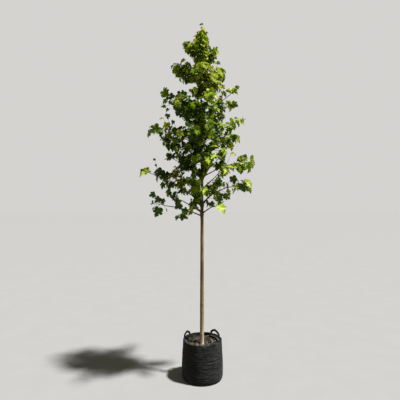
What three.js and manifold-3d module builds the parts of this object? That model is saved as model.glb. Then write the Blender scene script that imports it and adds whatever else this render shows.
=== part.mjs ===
// A young broad-leaved tree, four metres tall, standing on its root ball in a round fabric
// planting bag with two carrying handles.
// Millimetres, +Z up. The origin is the middle of the bag's flat underside, on the ground.
import * as THREE from "three";
import { mergeVertices } from "three/addons/utils/BufferGeometryUtils.js";
import Module from "manifold-3d";

const wasm = await Module();
wasm.setup();

// ---------------------------------------------------------------- sizes
const GAP = 0.4; // clearance between neighbouring pieces
const SIDES = 28; // facets round the bag

// bag
const RIM_Z = 437; // height of the bag's rim
const RIM_R = 218; // outer radius at the rim
const BELLY_R = 231; // outer radius where the bag bulges, low down
const FOOT_R = 202; // radius of the flat underside
const CLOTH = 4; // thickness of the bag's wall with its seams
const BASE_T = 5; // thickness of the double bottom

// root ball
const SOIL_Z = 374; // soil level at the trunk
const SOIL_EDGE_Z = 392; // soil level against the bag, round a shallow dish for watering

// handles: angles round the bag in degrees, +X is 0 and +Y is 90
const STRAP_W = 25; // width of the webbing strap
const STRAP_T = 9; // its thickness
const STRAP_DOWN = 52; // length sewn to the wall below the rim
const HANDLES = [
  // name, first end, second end, crown of the arch, its height above the rim, twist of the strap
  ["handle_left", 157, 132, 143, 35, -10],
  ["handle_right", 31, 62, 50, 39, 30],
];

// trunk: [height, sideways shift, radius]
const TRUNK_TOP = 4006;
const TRUNK = [
  [SOIL_Z + 0.3, -5.5, 25.4],
  [395, -5.8, 23.6],
  [450, -5.6, 23.2],
  [900, -4.4, 21.9],
  [1400, -4.3, 19.6],
  [1840, -4, 17.4],
  [2300, -5, 14.7],
  [2610, -9, 11.8],
  [2920, -13, 9.6],
  [3290, -17, 7.2],
  [3560, -15, 5.4],
  [3800, -13, 3.8],
  [3950, -12.5, 2.8],
  [TRUNK_TOP, -12.5, 1.8],
];

// limbs, each with the mass of foliage round its outer part:
// name, height where it leaves the trunk, azimuth, reach, height of its tip, upward bow,
// share of it that is bare, half width and half height of the mass, length of the mass past the
// tip, lift of the mass, fullness towards the trunk, bough solid or not
const LIMBS = [
  ["left_1", 3601, -173, 176, 3768, 91, 0.06, 80, 74, 18, 12, 0.8, 0],
  ["left_2", 3329, 173, 323, 3547, 102, 0.06, 90, 112, 16, 2, 0.85, 0],
  ["left_3", 2852, 172, 423, 3267, 114, 0.52, 62, 62, 34, 0, 1.3, 1],
  ["left_4", 2852, -134, 345, 3135, 114, 0.05, 150, 124, 14, -6, 0.85, 0],
  ["left_5", 2602, -175, 538, 2831, 136, 0.56, 70, 60, 48, -16, 1.25, 1],
  ["left_6", 2465, -158, 434, 2700, 114, 0.05, 136, 119, 6, -6, 0.85, 0],
  ["left_7", 2602, 157, 364, 2832, 114, 0.06, 114, 85, 14, 6, 0.85, 0],
  ["left_8", 2261, 163, 414, 2525, 136, 0.06, 125, 97, 0, 0, 0.85, 0],
  ["left_9", 1977, -178, 647, 2339, 227, 0.6, 62, 60, 60, 4, 1.2, 1],
  ["left_10", 1943, -165, 471, 2265, 227, 0.06, 114, 112, 6, 16, 0.85, 0],
  ["left_11", 1863, 166, 421, 2057, 136, 0.28, 100, 78, 0, 0, 1.0, 1],
  ["left_12", 1829, -169, 534, 1967, 102, 0.66, 62, 98, 64, -26, 1.0, 1],
  ["left_13", 1875, -149, 272, 1857, 91, 0.08, 78, 80, 72, -22, 0.95, 0],
  ["right_1", 3465, 7, 161, 3712, 68, 0.34, 52, 62, 25, 0, 1.0, 1],
  ["right_2", 3181, 15, 238, 3485, 91, 0.06, 95, 124, 36, 8, 0.88, 0],
  ["right_3", 2965, -4, 408, 3268, 114, 0.34, 60, 46, 36, 4, 0.75, 1],
  ["right_4", 2829, 16, 359, 3127, 114, 0.3, 85, 74, 60, 0, 1.0, 1],
  ["right_5", 2670, -8, 445, 2896, 136, 0.34, 85, 76, 57, -11, 0.8, 1],
  ["right_6", 2488, 17, 407, 2735, 136, 0.07, 108, 97, 36, 0, 0.8, 0],
  ["right_7", 2258, -2, 531, 2441, 168, 0.6, 100, 110, 64, -16, 1.1, 1],
  ["right_8", 2125, -25, 300, 2352, 136, 0.64, 66, 70, 45, 0, 1.1, 1],
  ["right_9", 2304, -42, 302, 2509, 62, 0.42, 91, 85, 23, 0, 0.9, 1],
  ["right_10", 1966, 6, 495, 2149, 250, 0.52, 68, 76, 80, 8, 1.15, 1],
  ["right_11", 1950, 8, 276, 2146, 159, 0.08, 97, 100, 45, 0, 0.9, 0],
  ["right_12", 1852, -30, 239, 1934, 102, 0.33, 76, 72, 76, -8, 1.2, 1],
  ["front_1", 3283, -72, 210, 3463, 91, 0.06, 125, 125, 23, 11, 0.88, 0],
  ["front_2", 2897, -75, 373, 3115, 114, 0.05, 159, 136, 23, -11, 0.88, 0],
  ["front_3", 2579, -73, 419, 2794, 136, 0.05, 170, 148, 11, 0, 0.88, 0],
  ["front_4", 2284, -82, 344, 2524, 136, 0.07, 148, 114, 0, 0, 0.9, 0],
  ["front_5", 1988, -111, 378, 2223, 159, 0.09, 108, 112, 20, 11, 0.9, 0],
  ["front_6", 2500, -105, 545, 2752, 150, 0.56, 82, 78, 45, 0, 1.1, 1],
  ["back_1", 3192, 110, 212, 3556, 91, 0.06, 114, 136, 23, 0, 0.85, 0],
  ["back_2", 2829, 108, 378, 3193, 114, 0.05, 159, 148, 11, 0, 0.88, 0],
  ["back_3", 2556, 79, 408, 2855, 136, 0.05, 170, 148, 11, 0, 0.88, 0],
  ["back_4", 2261, 118, 362, 2548, 136, 0.07, 148, 102, 0, 0, 0.9, 0],
  ["back_5", 2218, 74, 570, 2552, 144, 0.5, 84, 76, 50, 0, 1.1, 1],
  ["back_6", 1905, 112, 530, 2242, 200, 0.12, 96, 92, 40, 0, 1.2, 0],
];
const LEADER = ["leader", 3480, 3985, 92, 88, 0.74]; // foliage round the tip of the trunk: from, to, half width, half depth, fullness

const MASS_RINGS = 7;
const MASS_SIDES = 8;
const UNEVEN = 0.17; // how far a mass's surface strays from smooth

// ---------------------------------------------------------------- finishes
const finish = {
  cloth: { color: 0x1b1c1e, roughness: 0.95, metalness: 0 },
  strap: { color: 0x101112, roughness: 0.9, metalness: 0 },
  soil: { color: 0x4b3a2b, roughness: 1, metalness: 0 },
  bark: { color: 0x7c7a5c, roughness: 0.85, metalness: 0 },
  twig: { color: 0x5d5136, roughness: 0.85, metalness: 0 },
  leaf: { color: 0x4d7a1f, roughness: 0.55, metalness: 0 },
};

// ---------------------------------------------------------------- helpers
const rad = THREE.MathUtils.degToRad;
const lerp = THREE.MathUtils.lerp;
const clamp = THREE.MathUtils.clamp;

// The same stream of numbers between 0 and 1 for the same seed.
function numbers(seed) {
  let a = seed >>> 0;
  return () => {
    a = (a + 0x6d2b79f5) >>> 0;
    let t = Math.imul(a ^ (a >>> 15), a | 1);
    t ^= t + Math.imul(t ^ (t >>> 7), t | 61);
    return ((t ^ (t >>> 14)) >>> 0) / 4294967296;
  };
}

function bare(geometry) {
  const g = new THREE.BufferGeometry();
  g.setAttribute("position", geometry.getAttribute("position").clone());
  if (geometry.index) g.setIndex(geometry.index.clone());
  return mergeVertices(g, 1e-3);
}

// A closed geometry as a solid, with its faces pointing out.
function solid(geometry) {
  const g = bare(geometry);
  const triVerts = new Uint32Array(g.index.array);
  const make = () =>
    new wasm.Manifold(
      new wasm.Mesh({
        numProp: 3,
        vertProperties: new Float32Array(g.attributes.position.array),
        triVerts,
      }),
    );
  let made = make();
  if (made.volume() < 0) {
    for (let i = 0; i < triVerts.length; i += 3)
      [triVerts[i + 1], triVerts[i + 2]] = [triVerts[i + 2], triVerts[i + 1]];
    made = make();
  }
  return made;
}

// The largest body of a solid, as a geometry.
function largest(made) {
  const bodies = made.decompose();
  bodies.sort((a, b) => b.volume() - a.volume());
  const m = bodies[0].getMesh();
  const p = new Float32Array(m.numVert * 3);
  for (let i = 0; i < m.numVert; i++)
    p.set(m.vertProperties.subarray(i * m.numProp, i * m.numProp + 3), i * 3);
  const g = new THREE.BufferGeometry();
  g.setAttribute("position", new THREE.BufferAttribute(p, 3));
  g.setIndex(new THREE.BufferAttribute(new Uint32Array(m.triVerts), 1));
  g.computeVertexNormals();
  return g;
}

function piece(name, geometry, look) {
  const mesh = new THREE.Mesh(
    geometry,
    new THREE.MeshStandardMaterial({ ...finish[look], flatShading: true }),
  );
  mesh.name = name;
  return mesh;
}

const turned = (profile) =>
  new THREE.LatheGeometry(
    profile.map(([r, z]) => new THREE.Vector2(r, z)),
    SIDES,
  ).rotateX(Math.PI / 2);

// ---------------------------------------------------------------- trunk
function trunkAt(z) {
  let i = 1;
  while (i < TRUNK.length - 1 && TRUNK[i][0] < z) i++;
  const [z0, x0, r0] = TRUNK[i - 1];
  const [z1, x1, r1] = TRUNK[i];
  const t = clamp((z - z0) / (z1 - z0), 0, 1);
  return { x: lerp(x0, x1, t), r: lerp(r0, r1, t) };
}

function trunkGeometry(grow = 0) {
  const rings = TRUNK.length - 1;
  const g = new THREE.CylinderGeometry(1, 1, rings, 10, rings);
  const p = g.attributes.position;
  for (let i = 0; i < p.count; i++) {
    const k = Math.round(p.getY(i) + rings / 2);
    const [z, x, r] = TRUNK[k];
    const end = k === 0 ? -grow : k === rings ? grow : 0;
    p.setXYZ(i, x + p.getX(i) * (r + grow), -p.getZ(i) * (r + grow), z + end);
  }
  return g;
}

// ---------------------------------------------------------------- limbs
function limbOf([, z0, azimuth, reach, z1, bow]) {
  const out = new THREE.Vector3(Math.cos(rad(azimuth)), Math.sin(rad(azimuth)), 0);
  const foot = new THREE.Vector3(trunkAt(z0).x, 0, z0);
  const tip = foot.clone().addScaledVector(out, reach).setZ(z1);
  const knee = foot.clone().addScaledVector(out, reach * 0.42);
  knee.z += bow;
  return {
    curve: new THREE.QuadraticBezierCurve3(foot, knee, tip),
    side: new THREE.Vector3(-out.y, out.x, 0),
  };
}

// Points, tangents and frames along a limb's curve, run straight on past its tip.
function sampler(curve, side, t0, past) {
  const n = 24;
  const stops = [0];
  let last = curve.getPoint(t0);
  for (let i = 1; i <= n; i++) {
    const q = curve.getPoint(lerp(t0, 1, i / n));
    stops.push(stops[i - 1] + q.distanceTo(last));
    last = q;
  }
  const whole = stops[n] + past;
  return (u) => {
    const s = u * whole;
    let point, tangent;
    if (s >= stops[n]) {
      tangent = curve.getTangent(1);
      point = curve.getPoint(1).addScaledVector(tangent, s - stops[n]);
    } else {
      let i = 1;
      while (stops[i] < s) i++;
      const t = lerp(t0, 1, (i - 1 + (s - stops[i - 1]) / (stops[i] - stops[i - 1])) / n);
      tangent = curve.getTangent(t);
      point = curve.getPoint(t);
    }
    const up = new THREE.Vector3().crossVectors(tangent, side).normalize();
    return { point, tangent, side, up };
  };
}

const boughRadius = (z) => trunkAt(z).r * 0.27 + 1.0;

function boughGeometry(row, grow = 0) {
  const [, z0, , , , , t0] = row;
  const { curve, side } = limbOf(row);
  const at = sampler(curve, side, 0, 0);
  const length = curve.getLength();
  // the bare share of the curve, as a share of its length
  let bareLength = 0;
  let last = curve.getPoint(0);
  for (let i = 1; i <= 24; i++) {
    const q = curve.getPoint((t0 * i) / 24);
    bareLength += q.distanceTo(last);
    last = q;
  }
  const end = (bareLength - GAP - 0.2 + grow) / length;
  const rings = 4;
  const g = new THREE.CylinderGeometry(1, 1, 1, 6, rings);
  const p = g.attributes.position;
  const r0 = boughRadius(z0);
  for (let i = 0; i < p.count; i++) {
    const k = 0.5 - p.getY(i);
    const { point, up } = at(end * k);
    const collar = 1 + 0.35 * Math.max(0, 1 - k * 4); // the limb thickens where it joins
    const r = r0 * lerp(1, 0.6, k) * collar + grow;
    point.addScaledVector(side, p.getX(i) * r).addScaledVector(up, p.getZ(i) * r);
    p.setXYZ(i, point.x, point.y, point.z);
  }
  return g;
}

// ---------------------------------------------------------------- masses of foliage
function uneven(at, halfWidth, halfHeight, lift, fullness, seed, grow) {
  const next = numbers(seed);
  const bumps = Array.from({ length: (MASS_RINGS + 1) * MASS_SIDES }, () => lerp(-UNEVEN, UNEVEN, next()));
  const g = new THREE.SphereGeometry(1, MASS_SIDES, MASS_RINGS);
  const p = g.attributes.position;
  for (let ring = 0; ring <= MASS_RINGS; ring++) {
    const u = ring / MASS_RINGS;
    const { point, tangent, side, up } = at(u);
    const full = Math.pow(Math.sin(Math.PI * Math.pow(u, fullness)), 0.6) || 0;
    const pole = ring === 0 || ring === MASS_RINGS;
    for (let j = 0; j <= MASS_SIDES; j++) {
      const i = ring * (MASS_SIDES + 1) + j;
      const turn = (2 * Math.PI * j) / MASS_SIDES;
      const bump = 1 + bumps[ring * MASS_SIDES + (j % MASS_SIDES)];
      const a = pole ? 0 : halfWidth * full * bump + grow;
      const b = pole ? 0 : halfHeight * full * bump + grow;
      const q = point
        .clone()
        .addScaledVector(side, -Math.cos(turn) * a)
        .addScaledVector(up, Math.sin(turn) * b)
        .addScaledVector(tangent, pole ? (ring === 0 ? -grow : grow) : 0);
      q.z += lift * full;
      p.setXYZ(i, q.x, q.y, q.z);
    }
  }
  return g;
}

function massGeometry(row, index, grow = 0) {
  const [, , , , , , t0, halfWidth, halfHeight, past, lift, fullness] = row;
  const { curve, side } = limbOf(row);
  return uneven(sampler(curve, side, t0, past), halfWidth, halfHeight, lift, fullness, 101 + 37 * index, grow);
}

function leaderGeometry(grow = 0) {
  const [, from, to, halfWidth, halfDepth, fullness] = LEADER;
  const side = new THREE.Vector3(1, 0, 0);
  const at = (u) => {
    const z = lerp(from, to, u);
    return {
      point: new THREE.Vector3(trunkAt(z).x + 6 * Math.sin(u * 9), 0, z),
      tangent: new THREE.Vector3(0, 0, 1),
      side,
      up: new THREE.Vector3(0, -1, 0),
    };
  };
  return uneven(at, halfWidth, halfDepth, 0, fullness, 77, grow);
}

// ---------------------------------------------------------------- bag, soil and handles
const WALL = [
  // outer radius, inner radius, outer height, inner height
  [FOOT_R, FOOT_R, 0, BASE_T],
  [FOOT_R + 14, FOOT_R + 11, 3, BASE_T + 3],
  [FOOT_R + 25, FOOT_R + 21, 13, 16.5],
  [BELLY_R - 1, BELLY_R - 1 - CLOTH, 35, 37],
  [BELLY_R, BELLY_R - CLOTH, 120, 120],
  [BELLY_R - 9, BELLY_R - 9 - CLOTH, 340, 340],
  [RIM_R + 1, RIM_R + 1 - CLOTH, 400, 400],
  [RIM_R, RIM_R - CLOTH, RIM_Z, RIM_Z],
];

function wallGeometry() {
  const outer = WALL.map(([ro, , zo]) => [ro, zo]);
  const inner = WALL.map(([, ri, , zi]) => [ri, zi]).reverse();
  return turned([...outer, ...inner, outer[0]]);
}

const baseGeometry = () =>
  turned([
    [0, 0],
    [FOOT_R - GAP, 0],
    [FOOT_R - GAP, BASE_T],
    [0, BASE_T],
  ]);

function soilGeometry() {
  const slack = 0.6;
  const against = WALL.slice(0, 6).map(([, ri, , zi], i) => [ri - slack, i < 3 ? zi + slack : zi]);
  return turned([
    [0, BASE_T + slack],
    ...against,
    [RIM_R + 1.4 - CLOTH - slack, SOIL_EDGE_Z],
    [150, SOIL_EDGE_Z - 5],
    [33, SOIL_Z],
    [0, SOIL_Z],
  ]);
}

function handleGeometry([, from, to, crown, rise, twist]) {
  const out = RIM_R + GAP + 0.6 + STRAP_T / 2;
  const at = (angle, z, r = out) =>
    new THREE.Vector3(r * Math.cos(rad(angle)), r * Math.sin(rad(angle)), z);
  const sewn = out + 2.4; // the wall is a little wider below the rim
  const path = new THREE.CatmullRomCurve3(
    [
      at(from, RIM_Z - STRAP_DOWN, sewn),
      at(from, RIM_Z - STRAP_DOWN * 0.45, sewn),
      at(from, RIM_Z + 3, out + 1),
      at(lerp(from, crown, 0.45), RIM_Z + rise * 0.62, out),
      at(lerp(from, crown, 0.8), RIM_Z + rise * 0.95, out - 2),
      at(crown, RIM_Z + rise, out - 2),
      at(lerp(crown, to, 0.7), RIM_Z + rise * 0.62, out),
      at(to, RIM_Z + 3, out + 1),
      at(to, RIM_Z - STRAP_DOWN * 0.45, sewn),
      at(to, RIM_Z - STRAP_DOWN, sewn),
    ],
    false,
    "centripetal",
  );
  const rings = 15;
  const sides = 6;
  const g = new THREE.CylinderGeometry(1, 1, 1, sides, rings);
  const p = g.attributes.position;
  for (let i = 0; i < p.count; i++) {
    const k = clamp(0.5 - p.getY(i), 0, 1);
    const c = path.getPointAt(k);
    const along = path.getTangentAt(k);
    const outward = new THREE.Vector3(c.x, c.y, 0).normalize();
    const across = new THREE.Vector3().crossVectors(along, outward).normalize();
    const face = new THREE.Vector3().crossVectors(across, along).normalize();
    const turn = rad(twist) * Math.exp(-(((k - 0.34) / 0.1) ** 2));
    across.applyAxisAngle(along, turn);
    face.applyAxisAngle(along, turn);
    c.addScaledVector(across, (p.getX(i) * STRAP_W) / 2).addScaledVector(face, (p.getZ(i) * STRAP_T) / 2);
    p.setXYZ(i, c.x, c.y, c.z);
  }
  return g;
}

// ---------------------------------------------------------------- assembly
const tree = new THREE.Group();
tree.name = "sapling_in_planting_bag";

const bag = new THREE.Group();
bag.add(piece("bag_base", baseGeometry(), "cloth"));
bag.add(piece("bag_wall", wallGeometry(), "cloth"));
for (const row of HANDLES) bag.add(piece(row[0], largest(solid(handleGeometry(row))), "strap"));
bag.add(piece("root_ball", soilGeometry(), "soil"));
tree.add(bag);

const wood = new THREE.Group();
wood.add(piece("trunk", largest(solid(trunkGeometry())), "bark"));
const trunkCut = solid(trunkGeometry(GAP));
const boughs = new Map();
for (const row of LIMBS) {
  if (!row[12]) continue;
  let made = solid(boughGeometry(row)).subtract(trunkCut);
  for (const cut of boughs.values()) made = made.subtract(cut);
  wood.add(piece("bough_" + row[0], largest(made), "twig"));
  boughs.set(row[0], solid(boughGeometry(row, GAP)));
}
tree.add(wood);

const crown = new THREE.Group();
const masses = LIMBS.map((row, i) => ({
  name: row[0],
  whole: solid(massGeometry(row, i)),
  cut: solid(massGeometry(row, i, GAP)),
}));
masses.push({ name: LEADER[0], whole: solid(leaderGeometry()), cut: solid(leaderGeometry(GAP)) });
masses.sort((a, b) => a.whole.volume() - b.whole.volume());
masses.forEach((mass, i) => {
  let made = mass.whole.subtract(trunkCut);
  for (const [name, cut] of boughs) if (name !== mass.name) made = made.subtract(cut);
  for (let j = 0; j < i; j++) made = made.subtract(masses[j].cut);
  crown.add(piece("foliage_" + mass.name, largest(made), "leaf"));
});
tree.add(crown);

export default tree;
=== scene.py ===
import math

import bpy
import numpy as np
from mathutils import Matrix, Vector, noise
from mathutils.geometry import tessellate_polygon


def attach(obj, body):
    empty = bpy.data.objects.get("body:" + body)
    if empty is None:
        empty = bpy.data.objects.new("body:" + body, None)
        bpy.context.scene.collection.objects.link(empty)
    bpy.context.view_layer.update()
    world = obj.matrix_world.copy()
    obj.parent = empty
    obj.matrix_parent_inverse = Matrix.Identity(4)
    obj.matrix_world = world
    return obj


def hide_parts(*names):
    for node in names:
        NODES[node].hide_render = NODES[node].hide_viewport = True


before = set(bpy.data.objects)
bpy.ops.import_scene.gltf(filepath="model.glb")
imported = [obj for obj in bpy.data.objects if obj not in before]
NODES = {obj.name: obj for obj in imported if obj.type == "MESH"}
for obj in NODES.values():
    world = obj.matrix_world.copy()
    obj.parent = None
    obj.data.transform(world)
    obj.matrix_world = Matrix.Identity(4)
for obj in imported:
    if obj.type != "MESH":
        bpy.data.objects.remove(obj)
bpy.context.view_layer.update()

MM = 0.001
UP = np.array([0.0, 0.0, 1.0])


# ------------------------------------------------------------------ camera
CAM = np.array([-0.0273, -4.317, 2.011])
FOCAL = 380.0  # pixels, on a 400-pixel frame

cam_data = bpy.data.cameras.new("camera")
cam_data.sensor_width = 36.0
cam_data.lens = 36.0 * FOCAL / 400.0
cam = bpy.data.objects.new("camera", cam_data)
cam.location = CAM
cam.rotation_euler = (math.radians(90), 0, 0)
bpy.context.scene.collection.objects.link(cam)
bpy.context.scene.camera = cam


def seen(x, y, depth):
    """The point at that depth behind the trunk's plane which the camera sees at x, y."""
    d = depth - CAM[1]
    return np.array([CAM[0] + (x - 200.0) / FOCAL * d, depth, CAM[2] - (y - 200.0) / FOCAL * d])


# ------------------------------------------------------------------ materials
def srgb(r, g, b):
    def lin(c):
        c /= 255.0
        return c / 12.92 if c <= 0.04045 else ((c + 0.055) / 1.055) ** 2.4

    return (lin(r), lin(g), lin(b), 1.0)


class Mat:
    """A node material with short helpers."""

    def __init__(self, name):
        self.m = bpy.data.materials.new(name)
        self.m.use_nodes = True
        self.t = self.m.node_tree
        self.bsdf = self.t.nodes["Principled BSDF"]
        self.out = self.t.nodes["Material Output"]

    def node(self, kind, **values):
        n = self.t.nodes.new(kind)
        for k, v in values.items():
            if hasattr(n, k):
                setattr(n, k, v)
            else:
                n.inputs[k.replace("_", " ")].default_value = v
        return n

    def link(self, a, b):
        self.t.links.new(a, b)

    def coords(self, scale=(1, 1, 1)):
        tc = self.node("ShaderNodeTexCoord")
        mp = self.node("ShaderNodeMapping")
        mp.inputs["Scale"].default_value = scale
        self.link(tc.outputs["Object"], mp.inputs["Vector"])
        return mp.outputs["Vector"]

    def noise(self, scale, detail=4.0, rough=0.55, coords=None, stretch=(1, 1, 1)):
        n = self.node("ShaderNodeTexNoise")
        n.inputs["Scale"].default_value = scale
        n.inputs["Detail"].default_value = detail
        n.inputs["Roughness"].default_value = rough
        self.link(coords or self.coords(stretch), n.inputs["Vector"])
        return n.outputs["Fac"]

    def voronoi(self, scale, stretch=(1, 1, 1), feature="F1"):
        n = self.node("ShaderNodeTexVoronoi")
        n.feature = feature
        n.inputs["Scale"].default_value = scale
        self.link(self.coords(stretch), n.inputs["Vector"])
        return n.outputs["Distance"]

    def ramp(self, fac, *stops):
        n = self.node("ShaderNodeValToRGB")
        e = n.color_ramp.elements
        while len(e) > 1:
            e.remove(e[-1])
        e[0].position, e[0].color = stops[0]
        for p, c in stops[1:]:
            x = e.new(p)
            x.color = c
        self.link(fac, n.inputs["Fac"])
        return n.outputs["Color"]

    def mix(self, fac, a, b, kind="MIX"):
        n = self.node("ShaderNodeMix")
        n.data_type = "RGBA"
        n.blend_type = kind
        for slot, v in ((0, fac), (6, a), (7, b)):
            if isinstance(v, (float, int)):
                n.inputs[slot].default_value = v
            elif isinstance(v, tuple):
                n.inputs[slot].default_value = v
            else:
                self.link(v, n.inputs[slot])
        return n.outputs[2]

    def math(self, op, a, b=0.0):
        n = self.node("ShaderNodeMath")
        n.operation = op
        for slot, v in ((0, a), (1, b)):
            if isinstance(v, (float, int)):
                n.inputs[slot].default_value = v
            else:
                self.link(v, n.inputs[slot])
        return n.outputs[0]

    def bump(self, height, strength, distance, under=None):
        n = self.node("ShaderNodeBump")
        n.inputs["Strength"].default_value = strength
        n.inputs["Distance"].default_value = distance
        self.link(height, n.inputs["Height"])
        if under is not None:
            self.link(under, n.inputs["Normal"])
        return n.outputs["Normal"]

    def set(self, **values):
        for k, v in values.items():
            s = self.bsdf.inputs[k.replace("_", " ")]
            if hasattr(v, "is_linked") or hasattr(v, "links"):
                self.link(v, s)
            else:
                s.default_value = v
        return self


def shade(c, k):
    return (c[0] * k, c[1] * k, c[2] * k, 1.0)


def leaf_material(name, colour, glow, rough=0.38, through=0.36):
    """A leaf: glossy cuticle over a plain tint, with light coming through the blade."""
    m = Mat(name)
    spots = m.noise(95.0, 3.0)
    tint = m.ramp(spots, (0.30, shade(colour, 0.80)), (0.52, colour), (0.75, shade(colour, 1.22)))
    m.set(Base_Color=tint, Roughness=rough)
    m.bsdf.inputs["Specular IOR Level"].default_value = 0.36
    ribs = m.noise(240.0, 2.0)
    m.set(Normal=m.bump(ribs, 0.25, 0.0008))
    tr = m.node("ShaderNodeBsdfTranslucent")
    tr.inputs["Color"].default_value = glow
    mixer = m.node("ShaderNodeMixShader")
    mixer.inputs[0].default_value = through
    m.link(m.bsdf.outputs[0], mixer.inputs[1])
    m.link(tr.outputs[0], mixer.inputs[2])
    m.link(mixer.outputs[0], m.out.inputs["Surface"])
    return m.m


TINTS = {
    # name: blade, light through it
    # deep is as dark as a shaded leaf and lime as pale as a sunlit one; dealt by place in the crown, they are partly
    # painted shade and painted highlight
    "deep": (srgb(32, 56, 3), srgb(86, 128, 3)),
    "green": (srgb(68, 102, 8), srgb(134, 168, 8)),
    "fresh": (srgb(122, 151, 18), srgb(182, 206, 18)),
    "lime": (srgb(172, 193, 68), srgb(212, 224, 64)),
    "olive": (srgb(146, 148, 28), srgb(196, 198, 36)),
    "rust": (srgb(112, 58, 26), srgb(160, 92, 34)),
}
LEAF_MATS = {k: leaf_material("leaf_" + k, a, b) for k, (a, b) in TINTS.items()}


def bark_material():
    m = Mat("bark_young")
    z = m.node("ShaderNodeSeparateXYZ")
    tc = m.node("ShaderNodeTexCoord")
    m.link(tc.outputs["Object"], z.inputs[0])
    height = z.outputs[2]
    # Colour by height: whitish at the foot, a darker band from 1.12 to 1.29 m that is a painted shadow of the leaves
    # above, darker brown from 1.9 m up inside the crown as painted shade, and green at the young top.
    low = m.ramp(
        m.math("DIVIDE", height, 4.0),
        (0.094, srgb(244, 236, 222)),
        (0.113, srgb(226, 214, 192)),
        (0.140, srgb(176, 160, 122)),
        (0.262, srgb(168, 150, 108)),
        (0.280, srgb(120, 100, 70)),
        (0.322, srgb(114, 95, 66)),
        (0.344, srgb(176, 154, 114)),
        (0.405, srgb(176, 152, 112)),
        (0.446, srgb(160, 132, 92)),
        (0.475, srgb(90, 66, 44)),
        (0.75, srgb(74, 54, 36)),
        (0.93, srgb(84, 74, 42)),
        (0.965, srgb(120, 128, 66)),
        (0.995, srgb(146, 156, 92)),
    )
    patches = m.noise(7.0, 5.0, 0.6, stretch=(1, 1, 0.35))
    green = m.mix(m.ramp(patches, (0.42, (0, 0, 0, 1)), (0.66, (0.75, 0.75, 0.75, 1))), low, srgb(128, 112, 70))
    streaks = m.noise(60.0, 4.0, 0.6, stretch=(1.0, 1.0, 0.10))
    streaked = m.mix(m.ramp(streaks, (0.36, (0.45, 0.45, 0.45, 1)), (0.58, (0, 0, 0, 1))), green, srgb(92, 72, 46))
    pores = m.voronoi(95.0, stretch=(0.55, 0.55, 1.5))
    dots = m.ramp(pores, (0.10, (0.8, 0.8, 0.8, 1)), (0.20, (0, 0, 0, 1)))
    final = m.mix(dots, streaked, srgb(188, 176, 140))
    m.set(Base_Color=final, Roughness=m.ramp(patches, (0.3, (0.55,) * 3 + (1,)), (0.7, (0.75,) * 3 + (1,))))
    n1 = m.bump(streaks, 0.35, 0.0012)
    m.set(Normal=m.bump(dots, 0.5, 0.0008, n1))
    m.bsdf.inputs["Specular IOR Level"].default_value = 0.35
    return m.m


def wood_material(name, a, b, c, scale=60.0):
    m = Mat(name)
    grain = m.noise(scale, 4.0)
    col = m.ramp(grain, (0.30, a), (0.55, b), (0.78, c))
    m.set(Base_Color=col, Roughness=0.62)
    m.bsdf.inputs["Specular IOR Level"].default_value = 0.35
    m.set(Normal=m.bump(m.noise(220.0, 3.0), 0.4, 0.0006))
    return m.m


BARK = bark_material()
TWIG = wood_material("bark_twig", srgb(46, 36, 22), srgb(70, 56, 34), srgb(96, 82, 50))
STALK = wood_material("leaf_stalk", srgb(120, 110, 44), srgb(150, 140, 56), srgb(170, 112, 60), 30.0)


def cloth_material(name, low, middle, high):
    m = Mat(name)
    warp = m.node("ShaderNodeTexWave")
    warp.wave_type = "BANDS"
    warp.bands_direction = "Z"
    warp.inputs["Scale"].default_value = 260.0
    warp.inputs["Distortion"].default_value = 1.2
    m.link(m.coords(), warp.inputs["Vector"])
    fibres = m.noise(420.0, 3.0, 0.6)
    creases = m.noise(42.0, 6.0, 0.66, stretch=(0.42, 0.42, 1.6))
    dust = m.noise(9.0, 5.0, 0.6)
    # The creases' noise also drives the bump below: the colour is darker in their hollows, painted shade, and lighter
    # on their ridges.
    base = m.ramp(creases, (0.36, low), (0.52, middle), (0.66, high))
    dust_and_crease_shade = m.mix(m.ramp(dust, (0.45, (0, 0, 0, 1)), (0.8, (0.15, 0.15, 0.15, 1))), base, srgb(74, 74, 74))
    m.set(Base_Color=dust_and_crease_shade, Roughness=0.82)
    m.bsdf.inputs["Specular IOR Level"].default_value = 0.18
    m.bsdf.inputs["Sheen Weight"].default_value = 0.03
    m.bsdf.inputs["Sheen Roughness"].default_value = 0.5
    n1 = m.bump(creases, 0.9, 0.004)
    n2 = m.bump(warp.outputs["Fac"], 0.25, 0.0006, n1)
    m.set(Normal=m.bump(fibres, 0.35, 0.0005, n2))
    return m.m


def strap_material():
    m = Mat("strap_black")
    rib = m.voronoi(420.0)
    base = m.ramp(rib, (0.0, srgb(14, 14, 15)), (0.7, srgb(34, 34, 36)))
    m.set(Base_Color=base, Roughness=0.7)
    m.bsdf.inputs["Specular IOR Level"].default_value = 0.35
    m.set(Normal=m.bump(rib, 0.6, 0.0009))
    return m.m


def soil_material():
    m = Mat("soil_moist")
    big = m.noise(38.0, 6.0, 0.65)
    fine = m.noise(210.0, 4.0, 0.6)
    col = m.ramp(big, (0.32, srgb(16, 14, 12)), (0.50, srgb(40, 35, 29)), (0.68, srgb(76, 67, 55)))
    col = m.mix(m.ramp(fine, (0.58, (0, 0, 0, 1)), (0.72, (0.7, 0.7, 0.7, 1))), col, srgb(112, 98, 78))
    deep = m.node("ShaderNodeAttribute")
    deep.attribute_name = "deep"
    # painted shade: the colour goes nearly black down in the crack and the hollows
    painted_crack_shade = m.ramp(deep.outputs["Fac"], (0.25, (0, 0, 0, 1)), (0.65, (0.95, 0.95, 0.95, 1)))
    col = m.mix(painted_crack_shade, col, srgb(7, 6, 5))
    m.set(Base_Color=col, Roughness=0.95)
    m.bsdf.inputs["Specular IOR Level"].default_value = 0.2
    m.set(Normal=m.bump(fine, 0.8, 0.003, m.bump(big, 0.8, 0.006)))
    return m.m


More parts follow.
